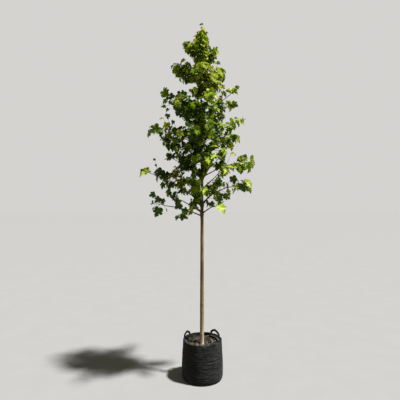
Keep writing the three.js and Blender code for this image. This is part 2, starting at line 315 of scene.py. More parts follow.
CLOTH = cloth_material("bag_cloth_black", srgb(17, 18, 20), srgb(37, 39, 41), srgb(67, 70, 73))
# lighter than the bag's cloth, for the rolled crest of each flap: partly the cloth's greyer inner face, partly a
# painted highlight
CLOTH_HEM_GREYER_AND_PAINTED_HIGHLIGHT = cloth_material("bag_cloth_hem_greyer_and_painted_highlight", srgb(30, 31, 33), srgb(60, 62, 64), srgb(98, 100, 103))
# a darker copy of the bag's cloth for the rolled-in rim and the flaps: painted shade
CLOTH_PAINTED_SHADE = cloth_material("bag_cloth_painted_shade", srgb(9, 9, 10), srgb(20, 20, 21), srgb(40, 41, 42))
STRAP = strap_material()
SOIL = soil_material()
CHIP_MATS = {
    "dark": wood_material("mulch_dark", srgb(20, 17, 14), srgb(36, 31, 26), srgb(54, 47, 39), 90.0),
    "brown": wood_material("mulch_brown", srgb(44, 38, 31), srgb(68, 60, 51), srgb(92, 82, 70), 90.0),
    "grey": wood_material("mulch_grey", srgb(76, 69, 60), srgb(104, 96, 85), srgb(146, 137, 124), 90.0),
}


# ------------------------------------------------------------------ mesh helpers
def make_object(name, verts, faces, mats, index=None, smooth=True):
    """A mesh from arrays. faces is one array, or a list of arrays of triangles and quads."""
    groups = faces if isinstance(faces, list) else [faces]
    groups = [np.asarray(g, dtype=np.int32) for g in groups if len(g)]
    verts = np.asarray(verts, dtype=np.float32)
    mesh = bpy.data.meshes.new(name)
    mesh.vertices.add(len(verts))
    mesh.vertices.foreach_set("co", verts.ravel())
    loops = np.concatenate([g.ravel() for g in groups])
    sizes = np.concatenate([np.full(len(g), g.shape[1], dtype=np.int32) for g in groups])
    starts = np.concatenate([[0], np.cumsum(sizes)[:-1]]).astype(np.int32)
    mesh.loops.add(len(loops))
    mesh.loops.foreach_set("vertex_index", loops)
    mesh.polygons.add(len(sizes))
    mesh.polygons.foreach_set("loop_start", starts)
    mesh.polygons.foreach_set("loop_total", sizes)
    mesh.polygons.foreach_set("use_smooth", np.full(len(sizes), smooth, dtype=bool))
    for m in mats if isinstance(mats, (list, tuple)) else [mats]:
        mesh.materials.append(m)
    if index is not None:
        mesh.polygons.foreach_set("material_index", np.asarray(index, dtype=np.int32))
    mesh.update(calc_edges=True)
    mesh.validate()
    obj = bpy.data.objects.new(name, mesh)
    bpy.context.scene.collection.objects.link(obj)
    return obj


class Heap:
    """Collects many small shapes into one mesh."""

    def __init__(self):
        self.v, self.q, self.t, self.n = [], [], [], 0

    def add(self, verts, quads=None, tris=None):
        if quads is not None and len(quads):
            self.q.append(np.asarray(quads) + self.n)
        if tris is not None and len(tris):
            self.t.append(np.asarray(tris) + self.n)
        self.v.append(verts)
        self.n += len(verts)

    def count(self):
        return sum(len(q) for q in self.q) * 2 + sum(len(t) for t in self.t)

    def build(self, name, mats, smooth=True):
        groups = []
        if self.q:
            groups.append(np.concatenate(self.q))
        if self.t:
            groups.append(np.concatenate(self.t))
        return make_object(name, np.concatenate(self.v), groups, mats, smooth=smooth)


def unit(v):
    v = np.asarray(v, dtype=float)
    n = np.linalg.norm(v, axis=-1, keepdims=True)
    return v / np.maximum(n, 1e-12)


def grid_quads(rows, cols, closed=True):
    """Quads of a grid of rows x cols vertices, wrapped round if closed."""
    a = np.arange(rows * cols).reshape(rows, cols)
    b = np.roll(a, -1, axis=1) if closed else None
    if closed:
        q = np.stack([a[:-1], b[:-1], b[1:], a[1:]], axis=-1)
    else:
        q = np.stack([a[:-1, :-1], a[:-1, 1:], a[1:, 1:], a[1:, :-1]], axis=-1)
    return q.reshape(-1, 4)


def frames_along(points):
    """Tangents and two normals carried along a line of points without twist."""
    points = np.asarray(points, dtype=float)
    t = unit(np.gradient(points, axis=0))
    ref = np.array([0.0, 0.0, 1.0]) if abs(t[0][2]) < 0.9 else np.array([1.0, 0.0, 0.0])
    a = np.zeros_like(points)
    a[0] = unit(np.cross(t[0], ref))
    for i in range(1, len(points)):
        v = a[i - 1] - t[i] * np.dot(a[i - 1], t[i])
        a[i] = unit(v)
    b = np.cross(t, a)
    return t, a, b


def tube(points, radii, sides=6, relief=None):
    """Verts, quads and end triangles of a tapering tube."""
    points = np.asarray(points, dtype=float)
    radii = np.broadcast_to(np.asarray(radii, dtype=float), (len(points),))
    _, a, b = frames_along(points)
    ang = np.arange(sides) / sides * 2 * np.pi
    r = radii[:, None] * (np.ones((len(points), sides)) if relief is None else relief)
    v = points[:, None] + r[..., None] * (np.cos(ang)[None, :, None] * a[:, None] + np.sin(ang)[None, :, None] * b[:, None])
    n = len(points)
    verts = np.concatenate([v.reshape(-1, 3), points[:1], points[-1:]])
    quads = grid_quads(n, sides)
    k = np.arange(sides)
    first = np.stack([np.full(sides, n * sides), (k + 1) % sides, k], axis=1)
    last = np.stack([np.full(sides, n * sides + 1), (n - 1) * sides + k, (n - 1) * sides + (k + 1) % sides], axis=1)
    return verts, quads, np.concatenate([first, last])


def bezier(p0, p1, p2, t):
    t = np.asarray(t, dtype=float)[..., None]
    return (1 - t) ** 2 * p0 + 2 * t * (1 - t) * p1 + t**2 * p2


# ------------------------------------------------------------------ trunk and limbs, as in the frame
SOIL_Z = 374.0
TRUNK_TOP = 4006.0
TRUNK = np.array([
    [SOIL_Z + 0.3, -5.5, 25.4], [395, -5.8, 23.6], [450, -5.6, 23.2], [900, -4.4, 21.9], [1400, -4.3, 19.6],
    [1840, -4, 17.4], [2300, -5, 14.7], [2610, -9, 11.8], [2920, -13, 9.6], [3290, -17, 7.2],
    [3560, -15, 5.4], [3800, -13, 3.8], [3950, -12.5, 2.8], [TRUNK_TOP, -12.5, 1.8],
]) * MM

# name, height on the trunk, azimuth, reach, height of tip, bow, bare share, half width, half height,
# past the tip, lift, fullness, bough node, leaves, mean leaf width
LIMBS = [
    ("left_1", 3601, -173, 176, 3768, 91, 0.06, 80, 74, 18, 12, 0.8, 0),
    ("left_2", 3329, 173, 323, 3547, 102, 0.06, 90, 112, 16, 2, 0.85, 0),
    ("left_3", 2852, 172, 423, 3267, 114, 0.52, 62, 62, 34, 0, 1.3, 1),
    ("left_4", 2852, -134, 345, 3135, 114, 0.05, 150, 124, 14, -6, 0.85, 0),
    ("left_5", 2602, -175, 538, 2831, 136, 0.56, 70, 60, 48, -16, 1.25, 1),
    ("left_6", 2465, -158, 434, 2700, 114, 0.05, 136, 119, 6, -6, 0.85, 0),
    ("left_7", 2602, 157, 364, 2832, 114, 0.06, 114, 85, 14, 6, 0.85, 0),
    ("left_8", 2261, 163, 414, 2525, 136, 0.06, 125, 97, 0, 0, 0.85, 0),
    ("left_9", 1977, -178, 647, 2339, 227, 0.6, 62, 60, 60, 4, 1.2, 1),
    ("left_10", 1943, -165, 471, 2265, 227, 0.06, 114, 112, 6, 16, 0.85, 0),
    ("left_11", 1863, 166, 421, 2057, 136, 0.28, 100, 78, 0, 0, 1.0, 1),
    ("left_12", 1829, -169, 534, 1967, 102, 0.66, 62, 98, 64, -26, 1.0, 1),
    ("left_13", 1875, -149, 272, 1857, 91, 0.08, 78, 80, 72, -22, 0.95, 0),
    ("right_1", 3465, 7, 161, 3712, 68, 0.34, 52, 62, 25, 0, 1.0, 1),
    ("right_2", 3181, 15, 238, 3485, 91, 0.06, 95, 124, 36, 8, 0.88, 0),
    ("right_3", 2965, -4, 408, 3268, 114, 0.34, 60, 46, 36, 4, 0.75, 1),
    ("right_4", 2829, 16, 359, 3127, 114, 0.3, 85, 74, 60, 0, 1.0, 1),
    ("right_5", 2670, -8, 445, 2896, 136, 0.34, 85, 76, 57, -11, 0.8, 1),
    ("right_6", 2488, 17, 407, 2735, 136, 0.07, 108, 97, 36, 0, 0.8, 0),
    ("right_7", 2258, -2, 531, 2441, 168, 0.6, 100, 110, 64, -16, 1.1, 1),
    ("right_8", 2125, -25, 300, 2352, 136, 0.64, 66, 70, 45, 0, 1.1, 1),
    ("right_9", 2304, -42, 302, 2509, 62, 0.42, 91, 85, 23, 0, 0.9, 1),
    ("right_10", 1966, 6, 495, 2149, 250, 0.52, 68, 76, 80, 8, 1.15, 1),
    ("right_11", 1950, 8, 276, 2146, 159, 0.08, 97, 100, 45, 0, 0.9, 0),
    ("right_12", 1852, -30, 239, 1934, 102, 0.33, 76, 72, 76, -8, 1.2, 1),
    ("front_1", 3283, -72, 210, 3463, 91, 0.06, 125, 125, 23, 11, 0.88, 0),
    ("front_2", 2897, -75, 373, 3115, 114, 0.05, 159, 136, 23, -11, 0.88, 0),
    ("front_3", 2579, -73, 419, 2794, 136, 0.05, 170, 148, 11, 0, 0.88, 0),
    ("front_4", 2284, -82, 344, 2524, 136, 0.07, 148, 114, 0, 0, 0.9, 0),
    ("front_5", 1988, -111, 378, 2223, 159, 0.09, 108, 112, 20, 11, 0.9, 0),
    ("front_6", 2500, -105, 545, 2752, 150, 0.56, 82, 78, 45, 0, 1.1, 1),
    ("back_1", 3192, 110, 212, 3556, 91, 0.06, 114, 136, 23, 0, 0.85, 0),
    ("back_2", 2829, 108, 378, 3193, 114, 0.05, 159, 148, 11, 0, 0.88, 0),
    ("back_3", 2556, 79, 408, 2855, 136, 0.05, 170, 148, 11, 0, 0.88, 0),
    ("back_4", 2261, 118, 362, 2548, 136, 0.07, 148, 102, 0, 0, 0.9, 0),
    ("back_5", 2218, 74, 570, 2552, 144, 0.5, 84, 76, 50, 0, 1.1, 1),
    ("back_6", 1905, 112, 530, 2242, 200, 0.12, 96, 92, 40, 0, 1.2, 0),
]


def trunk_at(z):
    """The trunk's centre line and radius at a height, in metres."""
    return np.interp(z, TRUNK[:, 0], TRUNK[:, 1]), np.interp(z, TRUNK[:, 0], TRUNK[:, 2])


class Limb:
    def __init__(self, row, number):
        (self.name, z0, az, reach, z1, bow, self.t0, hw, hh, past, lift, self.full, node) = row
        self.number, self.node = number, bool(node)
        self.hw, self.hh, self.past, self.lift = hw * MM, hh * MM, past * MM, lift * MM
        a = math.radians(az)
        self.out = np.array([math.cos(a), math.sin(a), 0.0])
        self.side = np.array([-self.out[1], self.out[0], 0.0])
        z0, z1, reach = z0 * MM, z1 * MM, reach * MM
        self.z0 = z0
        self.p0 = np.array([trunk_at(z0)[0], 0.0, z0])
        self.p2 = self.p0 + self.out * reach
        self.p2[2] = z1
        self.p1 = self.p0 + self.out * reach * 0.42
        self.p1[2] += bow * MM
        self.r0 = trunk_at(z0)[1] * 0.27 + 0.0010
        self.vertical = False

    def line(self, t0=0.0, n=60):
        pts = bezier(self.p0, self.p1, self.p2, np.linspace(t0, 1, n))
        if self.past > 0:
            end = unit(self.p2 - self.p1)
            k = max(2, int(self.past / 0.012))
            pts = np.concatenate([pts, self.p2 + end * (np.arange(1, k + 1) / k * self.past)[:, None]])
        return pts

    def mass(self, u):
        """Centre, tangent, side, up and the two half sizes of the foliage at share u of its length."""
        pts = self.line(self.t0)
        d = np.concatenate([[0], np.cumsum(np.linalg.norm(np.diff(pts, axis=0), axis=1))])
        s = u * d[-1]
        c = np.array([np.interp(s, d, pts[:, k]) for k in range(3)])
        c2 = np.array([np.interp(min(s + 0.01, d[-1]), d, pts[:, k]) for k in range(3)])
        c1 = np.array([np.interp(max(s - 0.01, 0), d, pts[:, k]) for k in range(3)])
        t = unit(c2 - c1)
        up = unit(np.cross(t, self.side))
        full = max(0.0, math.sin(math.pi * u**self.full)) ** 0.6
        c = c + UP * self.lift * full
        return c, t, self.side, up, self.hw * full, self.hh * full

    def length(self):
        pts = self.line(self.t0)
        return float(np.linalg.norm(np.diff(pts, axis=0), axis=1).sum())


class Leader(Limb):
    """The foliage round the trunk's tip."""

    def __init__(self, number):
        self.name, self.number, self.node = "leader", number, False
        self.z_from, self.z_to, self.hw, self.hh, self.full = 3.480, 3.985, 0.092, 0.088, 0.74
        self.side = np.array([1.0, 0.0, 0.0])
        self.out = np.array([0.0, -1.0, 0.0])
        self.vertical = True
        self.t0 = 0.0

    def line(self, t0=0.0, n=40):
        z = np.linspace(self.z_from, self.z_to, n)
        return np.stack([trunk_at(z)[0], np.zeros(n), z], axis=1)

    def mass(self, u):
        z = self.z_from + (self.z_to - self.z_from) * u
        full = max(0.0, math.sin(math.pi * u**self.full)) ** 0.6
        c = np.array([trunk_at(z)[0] + 0.006 * math.sin(u * 9), 0.0, z])
        return c, UP, self.side, np.array([0.0, -1.0, 0.0]), self.hw * full, self.hh * full

    def length(self):
        return self.z_to - self.z_from


limbs = [Limb(row, i) for i, row in enumerate(LIMBS)]
leader = Leader(len(limbs))


# ------------------------------------------------------------------ trunk mesh
def bark_relief(z, ang, r, seed):
    """Height of the young bark above its smooth form, in metres."""
    p = Vector((math.cos(ang) * 1.3 + seed, math.sin(ang) * 1.3, z * 3.0))
    ridges = noise.fractal(Vector((math.cos(ang) * 5 + seed, math.sin(ang) * 5, z * 9.0)), 1.0, 2.0, 3)
    broad = noise.noise(p)
    return (0.018 * ridges + 0.035 * broad) * r


def trunk_mesh():
    sides = 40
    z = np.concatenate([np.arange(SOIL_Z * MM - 0.004, 1.9, 0.0065), np.arange(1.9, TRUNK_TOP * MM, 0.0055)])
    x, r = trunk_at(z)
    rng = np.random.default_rng(11)
    # swellings at old nodes and rubbed-off side shoots, and collars under the limbs
    knots = [(h, rng.uniform(0, 2 * math.pi), rng.uniform(0.04, 0.13), 0.016) for h in np.arange(0.52, 1.80, 0.115) + rng.uniform(-0.03, 0.03, 12)]
    for b in limbs:
        knots.append((b.z0 - 0.004, math.atan2(b.out[1], b.out[0]), 0.24, 0.020))
    ang = np.arange(sides) / sides * 2 * np.pi
    grow = np.zeros((len(z), sides))
    for i, zi in enumerate(z):
        for j, a in enumerate(ang):
            grow[i, j] = bark_relief(zi, a, r[i], 3.7)
    for h, a0, amount, wide in knots:
        dz = (z[:, None] - h) / wide
        da = np.angle(np.exp(1j * (ang[None] - a0))) / 0.75
        grow += amount * r[:, None] * np.exp(-(dz**2) - da**2)
        grow += 0.14 * amount * r[:, None] * np.exp(-((dz * 1.6) ** 2))
    rr = r[:, None] + grow
    v = np.stack([x[:, None] + rr * np.cos(ang), rr * np.sin(ang), np.broadcast_to(z[:, None], rr.shape)], axis=-1)
    n = len(z)
    verts = np.concatenate([v.reshape(-1, 3), [[x[0], 0, z[0]]], [[x[-1], 0, z[-1] + 0.002]]])
    k = np.arange(sides)
    first = np.stack([np.full(sides, n * sides), (k + 1) % sides, k], axis=1)
    last = np.stack([np.full(sides, n * sides + 1), (n - 1) * sides + k, (n - 1) * sides + (k + 1) % sides], axis=1)
    return make_object("trunk_bark", verts, [grid_quads(n, sides), np.concatenate([first, last])], BARK)


trunk = trunk_mesh()
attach(trunk, "root")
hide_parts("trunk")


# ------------------------------------------------------------------ leaf shapes
# Half of a broad five-lobed leaf, base at 0, 0 and tip at 0, 1, in three panels that meet on its veins.
HALF_LEAF = {
    "centre": [(0, 0), (0.19, 0.19), (0.38, 0.375), (0.57, 0.56), (0.45, 0.575), (0.385, 0.66), (0.30, 0.575), (0.215, 0.565),
               (0.245, 0.69), (0.325, 0.775), (0.195, 0.82), (0.125, 0.91), (0, 1.02), (0, 0.68), (0, 0.34)],
    "flank": [(0, 0), (0.25, 0.0), (0.51, 0.0), (0.455, 0.10), (0.55, 0.19), (0.455, 0.245), (0.43, 0.31), (0.525, 0.355),
              (0.60, 0.44), (0.53, 0.485), (0.57, 0.56), (0.38, 0.375), (0.19, 0.19)],
    "foot": [(0, 0), (0.06, -0.075), (0.17, -0.125), (0.27, -0.10), (0.37, -0.11), (0.43, -0.03), (0.51, 0.0), (0.25, 0.0)],
}
VEINS = [((0, 0), (0, 1.0)), ((0, 0), (0.57, 0.56)), ((0, 0), (0.51, 0.0))]


def near_vein(x, y):
    best = 9.0
    for (ax, ay), (bx, by) in VEINS:
        dx, dy = bx - ax, by - ay
        t = max(0.0, min(1.0, ((x - ax) * dx + (y - ay) * dy) / (dx * dx + dy * dy)))
        best = min(best, math.hypot(x - ax - t * dx, y - ay - t * dy))
    return best


def leaf_outline():
    """The flat leaf as points and triangles, both halves."""
    pts, tris, where = [], [], {}

    def index(p):
        key = (round(p[0], 4), round(p[1], 4))
        if key not in where:
            where[key] = len(pts)
            pts.append(key)
        return where[key]

    for poly in HALF_LEAF.values():
        loop = [Vector((x, y, 0)) for x, y in poly]
        for tri in tessellate_polygon([loop]):
            ids = [index(poly[k]) for k in tri]
            mirrored = [index((-poly[k][0], poly[k][1])) for k in tri]
            a, b, c = (np.array(pts[k]) for k in ids)
            area = (b[0] - a[0]) * (c[1] - a[1]) - (b[1] - a[1]) * (c[0] - a[0])
            tris.append(ids if area > 0 else ids[::-1])
            a, b, c = (np.array(pts[k]) for k in mirrored)
            area = (b[0] - a[0]) * (c[1] - a[1]) - (b[1] - a[1]) * (c[0] - a[0])
            tris.append(mirrored if area > 0 else mirrored[::-1])
    return np.array(pts), np.array(tris)


FLAT_PTS, LEAF_TRIS = leaf_outline()


def leaf_variant(seed):
    rng = np.random.default_rng(1000 + seed)
    p = FLAT_PTS.copy()
    x, y = p[:, 0].copy(), p[:, 1].copy()
    vein = np.array([near_vein(abs(a), b) for a, b in zip(x, y)])
    lop = rng.uniform(-0.12, 0.12)
    bend = rng.uniform(-0.14, 0.14)
    waist = rng.uniform(0.86, 1.06)
    r = np.hypot(x, y)
    x2 = x * (1 + lop * np.sign(x)) * waist + bend * y**2
    y2 = y * rng.uniform(0.92, 1.08)
    fold = rng.uniform(0.18, 0.78)
    droop = rng.uniform(0.10, 0.58)
    z = vein * rng.uniform(0.30, 0.70)
    z = z + fold * np.abs(x) - droop * np.clip(r - 0.12, 0, None) ** 1.6
    z = z + rng.uniform(-0.12, 0.12) * x * y * 2
    z = z + 0.035 * np.sin(x * 7 + rng.uniform(0, 6)) * r + 0.03 * np.sin(y * 8 + rng.uniform(0, 6)) * r
    return np.stack([x2, y2, z], axis=1) / 1.16


LEAF_SHAPES = [leaf_variant(k) for k in range(16)]


# ------------------------------------------------------------------ branching
SUN = unit(np.array([0.442, -0.150, 1.0]))
DENSITY = 770.0
LEAF_GAP = 0.044

rng = np.random.default_rng(20240611)
twigs, stalks, limb_heap = Heap(), Heap(), Heap()
blades = {k: Heap() for k in TINTS}
leaf_count = 0
all_centres = np.zeros((0, 3))
carriers = []  # (points, is a limb) that leaves may hang from

# Places that stay open to the sky in the view from the front: x, y and the half sizes of each, in pixels.
OPENINGS = [
    (191, 85.5, 6.5, 2.6), (179, 123, 5.5, 3.4), (211.0, 172.0, 4.0, 5.0), (167.5, 165.5, 4.5, 5), (169.5, 203.5, 4.5, 6),
    (222.5, 190, 6, 3), (209.5, 199, 5, 3), (226, 181.5, 3.4, 2.8), (216, 219, 9, 7), (196, 219, 6, 6), (208, 142, 4, 3),
    (215, 152, 3, 3), (175, 163, 4, 2.6), (182, 197, 4.5, 2.6), (192, 196.5, 3, 2.4), (229, 160, 4, 5), (174, 190, 3, 2.5),
    (212, 213, 5, 5), (229, 97.5, 6, 3.6), (229, 113, 4, 3), (176, 86, 5, 3), (172, 180.5, 4, 1.8), (189, 173, 2.5, 2),
    (199, 166, 2.6, 3), (188, 187, 3, 3.2), (185, 206.5, 4.5, 4), (160, 124.5, 3.4, 2.6), (171.5, 92.5, 3, 2.6), (234.5, 112.5, 3, 2.5),
    (175.5, 162, 3.2, 2.6), (215, 161.5, 3.2, 2.8), (166, 93, 3, 2.6), (166, 122, 2.6, 2), (247, 181, 2.4, 2.4), (187, 203, 2.6, 2.6),
    (222, 62, 2.6, 2.6), (204.5, 150, 2, 2), (193, 120, 1.8, 1.8), (186, 141, 2, 2),
]

# Places where the crown has small sprays of its own between the limbs' masses: x, y, half sizes, number of leaves.
SPRAYS = [
    (166, 139, 6, 6, 15), (174, 146, 5, 5, 11), (165, 177, 6, 4, 8), (178, 173, 5, 4, 8), (218, 118, 5, 5, 10),
    (219, 127, 4, 4, 7), (214, 147, 4, 3, 5), (227, 170, 6, 5, 11), (235, 166, 4, 4, 7), (219, 166, 5, 4, 6),
    (217, 184, 6, 4, 10), (224, 194, 5, 3, 5), (219, 87, 4, 4, 6), (168, 190, 4, 4, 5), (168, 130, 6, 3, 6),
    (150, 134, 3, 2, 2), (212, 163, 4, 3, 5), (226, 152, 4, 3, 3), (170, 157, 5, 3, 5), (209, 186, 4, 3, 6),
]

# Single leaves that stand out in the crown's outline and over its front: x, y and width in pixels, tint, the way the
# tip points (0 down, 90 right) and, for those in front of the crown, their depth.
# Each tint follows how light or dark that leaf looks: the lime ones are partly painted highlight, the deep ones partly
# painted shade.
FEATURES = [
    (200.2, 24.7, 2.3, "deep", -70), (202.3, 24.4, 2.3, "deep", 75), (201.3, 28.2, 1.8, "fresh", 40),
    (204.2, 33.6, 4.4, "deep", 40), (206.9, 33.0, 4.4, "green", 95), (198.6, 31.8, 4.0, "olive", -110),
    (196.2, 32.4, 2.2, "olive", -100), (194.2, 36.4, 2.6, "olive", -80), (198.7, 37.2, 3.0, "rust", -30),
    (201.6, 36.4, 4.0, "deep", 10), (195.2, 41.5, 7.0, "lime", -40, -0.06), (206.8, 42.0, 6.4, "lime", 50, -0.05),
    (202.2, 41.4, 4.6, "deep", 10), (186.5, 45.8, 5.8, "green", -80), (187.2, 50.4, 5.8, "lime", -20),
    (188.1, 42.4, 2.6, "rust", -110), (192.2, 53.6, 6.2, "deep", -30), (214.4, 51.6, 6.8, "green", 30),
    (213.2, 59.4, 2.8, "rust", 60), (182.8, 61.2, 5.8, "fresh", -50), (209.6, 48.6, 5.2, "green", 70),
    (174.4, 68.0, 7.0, "fresh", -80), (179.4, 74.8, 8.4, "green", -50), (186.8, 82.4, 6.4, "deep", -20),
    (221.6, 70.6, 6.0, "green", 80), (222.8, 77.8, 5.8, "green", 40), (218.6, 63.6, 5.6, "green", 60),
    (238.0, 87.3, 5.6, "green", 115), (230.8, 90.3, 8.4, "fresh", 80), (223.9, 94.4, 6.8, "green", 30),
    (165.2, 91.6, 11.0, "green", -165), (171.4, 97.0, 6.6, "deep", -40), (164.5, 102.1, 5.4, "green", -60),
    (163.0, 107.1, 5.4, "green", -90), (167.2, 110.2, 4.4, "deep", -40), (171.4, 103.6, 4.0, "green", 20),
    (161.2, 118.4, 5.2, "olive", -90), (167.7, 116.8, 5.8, "deep", -10), (172.6, 122.8, 5.4, "deep", -10),
    (175.4, 101.0, 7.4, "lime", -70, -0.27), (180.6, 97.6, 7.8, "lime", -20, -0.27), (178.4, 105.2, 7.0, "lime", 30, -0.28), (179.5, 111.6, 13.0, "deep", -30, -0.24), (186.0, 115.6, 11.0, "deep", 10, -0.24),
    (182.8, 94.4, 7.4, "deep", -20), (194.6, 91.2, 8.8, "lime", 30, -0.20), (210.6, 92.2, 8.6, "lime", 10, -0.24),
    (154.5, 129.8, 11.8, "green", -50), (166.2, 127.0, 8.8, "olive", 0), (179.8, 134.4, 8.4, "lime", -10, -0.27),
    (197.4, 130.2, 9.0, "lime", 60, -0.30), (228.4, 104.4, 7.8, "olive", 10), (235.0, 105.3, 7.8, "deep", 60),
    (236.4, 118.8, 4.2, "fresh", 100), (240.6, 122.6, 8.8, "lime", 80), (232.6, 126.8, 9.6, "olive", 50),
    (233.2, 139.4, 8.6, "deep", 10), (238.4, 140.8, 6.0, "olive", 60), (231.2, 147.2, 7.2, "olive", 20),
    (168.6, 158.0, 7.4, "deep", -40), (233.4, 154.6, 5.6, "olive", 60), (143.9, 172.6, 12.8, "lime", -70),
    (154.2, 159.8, 3.0, "deep", -20), (156.4, 165.4, 3.0, "deep", 30), (159.4, 173.0, 9.4, "deep", -40),
    (162.6, 186.0, 6.8, "deep", -30), (151.8, 195.2, 7.4, "deep", -70), (157.0, 200.4, 8.6, "deep", -40),
    (162.8, 201.8, 6.0, "deep", 20), (156.6, 212.5, 11.8, "deep", -20), (177.6, 206.6, 9.2, "deep", -50),
    (185.4, 212.0, 8.4, "deep", 20), (182.4, 218.0, 7.6, "deep", -10), (194.6, 205.6, 7.6, "deep", -20),
    (212.0, 205.0, 7.0, "deep", 30), (222.2, 209.6, 12.4, "lime", 40), (219.0, 200.4, 8.2, "deep", 10),
    (227.0, 197.2, 7.6, "green", 70), (233.6, 180.2, 8.8, "deep", 20), (243.2, 188.2, 10.4, "deep", 10),
    (247.6, 184.2, 10.0, "lime", 60), (224.8, 172.4, 9.8, "olive", 10), (219.0, 182.4, 8.0, "deep", 20),
    (240.6, 158.8, 7.2, "deep", 150), (246.2, 159.6, 6.0, "lime", 120), (248.2, 167.4, 11.0, "lime", 50),
    (241.0, 169.4, 9.6, "deep", 0), (207.8, 161.0, 9.6, "lime", 20, -0.34), (196.4, 184.4, 9.4, "lime", -60, -0.20),
    (207.2, 193.0, 6.4, "fresh", 30, -0.12), (189.0, 184.0, 6.0, "fresh", -40, -0.16),
]


def pixel(p):
    d = p[1] - CAM[1]
    return 200.0 + FOCAL * (p[0] - CAM[0]) / d, 200.0 + FOCAL * (CAM[2] - p[2]) / d


def is_open(p, width):
    x, y = pixel(p)
    w = 0.30 * width * FOCAL / (p[1] - CAM[1])
    return any(((x - a) / (c + w)) ** 2 + ((y - b) / (d + w)) ** 2 < 1 for a, b, c, d in OPENINGS)


def in_sun_lane(c, width):
    """Whether a leaf would shade the top of the bare stem, which stands in the sun."""
    away = (c[0] - trunk_at(1.53)[0]) / SUN[0]
    if away < 0.05:
        return False
    side = (c[0] * SUN[1] - c[1] * SUN[0]) / math.hypot(SUN[0], SUN[1])
    return abs(side) < 0.022 + 0.42 * width and 1.29 < c[2] - away * SUN[2] < 1.70


def leaf_size(c):
    """Mean blade width at a point: smaller towards the top of the tree."""
    return float(np.interp(c[2], [1.9, 2.4, 3.0, 3.5, 3.95], [0.057, 0.057, 0.058, 0.058, 0.048]))


# How full a limb's own spray is beside the others.
FULLER = {
    "left_3": 0.35, "left_5": 0.40, "left_9": 0.45, "left_12": 0.22, "left_13": 0.45, "left_11": 0.85, "left_10": 1.5,
    "left_8": 1.3, "left_4": 1.15, "left_2": 0.85, "right_3": 0.45, "right_4": 0.7, "right_5": 0.6, "right_6": 0.85,
    "right_7": 0.6, "right_8": 1.2, "right_9": 0.9, "right_10": 0.6, "right_11": 1.4, "right_12": 0.6, "front_5": 0.9,
    "back_1": 0.8, "back_2": 0.75, "back_3": 0.75, "back_4": 0.8, "back_5": 0.8, "front_6": 0.6, "front_1": 0.75, "front_2": 0.62, "front_3": 0.6, "front_4": 0.68,
}


def density_at(z):
    """How close the leaves stand: the crown is thin low down and dense at its top."""
    return float(np.interp(z, [1.9, 2.25, 2.45, 2.8, 3.2, 3.5, 3.9], [0.70, 0.78, 1.02, 1.20, 1.40, 1.9, 2.6]))


def add_stalk(a, b, bulge, r=0.0011, heap=None, sides=4, taper=0.8, steps=4):
    heap = heap or stalks
    m = (a + b) / 2 + bulge
    pts = bezier(a, m, b, np.linspace(0, 1, steps))
    v, q, t = tube(pts, np.linspace(r, r * taper, steps), sides)
    heap.add(v, q, t)
    return pts


def add_leaf(base, tip_dir, normal, width, tint, which):
    global leaf_count
    y = unit(tip_dir)
    z = unit(normal - y * np.dot(normal, y))
    x = np.cross(y, z)
    s = LEAF_SHAPES[which % len(LEAF_SHAPES)] * width
    v = base + s[:, :1] * x + s[:, 1:2] * y + s[:, 2:] * z
    blades[tint].add(v, tris=LEAF_TRIS)
    leaf_count += 1


def tint_of(c):
    """Tints are dealt out by spray as painted light and shade: sprays on the sun's side and higher up get lighter,
    yellower tints, the left and the foot of the crown darker ones.
    """
    height = np.interp(c[2], [1.9, 2.2, 2.6, 2.9, 3.2, 3.5, 3.9], [0.16, 0.14, 0.0, 0.0, 0.15, 0.36, 0.52])
    # painted light: the score rises toward the sun's side (right and front) and the top of the crown
    painted_light_score = 0.42 + 0.85 * c[0] + height - 0.20 * c[1] + rng.normal(0, 0.25)
    if rng.random() < 0.03:
        return "olive"
    if painted_light_score > 0.98:
        return "lime"
    if painted_light_score > 0.66:
        return "fresh"
    if painted_light_score > 0.34:
        return "green"
    return "deep"


def limb_line(limb):
    """The limb's own line, with the small bends of real wood."""
    pts = limb.line(0.0)
    fine = np.concatenate([[0], np.cumsum(np.linalg.norm(np.diff(pts, axis=0), axis=1))])
    n = max(8, int(fine[-1] / 0.012))
    s = np.linspace(0.0, fine[-1], n)
    line = np.stack([np.interp(s, fine, pts[:, k]) for k in range(3)], axis=1)
    if limb.vertical:
        return line, s
    share = s / fine[-1]
    wob = np.array([[noise.noise(Vector((limb.number * 3.1, q * 9, k * 5.5))) for k in range(3)] for q in s])
    return line + wob * 0.010 * np.clip(share * (1.15 - share) * 4, 0, 1)[:, None], s


def limb_mesh(limb, line, s):
    share = s / s[-1]
    rad = limb.r0 * (1 - share) ** 0.75 + 0.0016
    rad = rad * (1 + 0.6 * np.exp(-s / 0.018))
    node = 1 + 0.10 * np.exp(-(((s % 0.07) - 0.035) / 0.006) ** 2)
    ang = np.arange(10) / 10 * 2 * np.pi
    rel = 1 + 0.05 * np.array([[noise.noise(Vector((q * 40, math.cos(a) * 1.5 + limb.number, math.sin(a) * 1.5))) for a in ang] for q in s])
    v, q4, t3 = tube(line, rad * node, 10, rel)
    limb_heap.add(v, q4, t3)


def shoot(root, tang, tip, seed):
    """A side shoot from a point of a limb to its tip."""
    reach = np.linalg.norm(tip - root)
    ctrl = root + (tip - root) * 0.45 + tang * reach * 0.16 + UP * reach * 0.05
    n = max(5, int(reach / 0.02))
    line = bezier(root, ctrl, tip, np.linspace(0, 1, n))
    wob = np.array([[noise.noise(Vector((seed, q * 14, kk * 4.1))) for kk in range(3)] for q in np.linspace(0, reach, n)])
    line[1:] += wob[1:] * 0.006
    v, q4, t3 = tube(line, np.linspace(0.0024, 0.0013, n) * (1 + reach), 6)
    twigs.add(v, q4, t3)
    return line


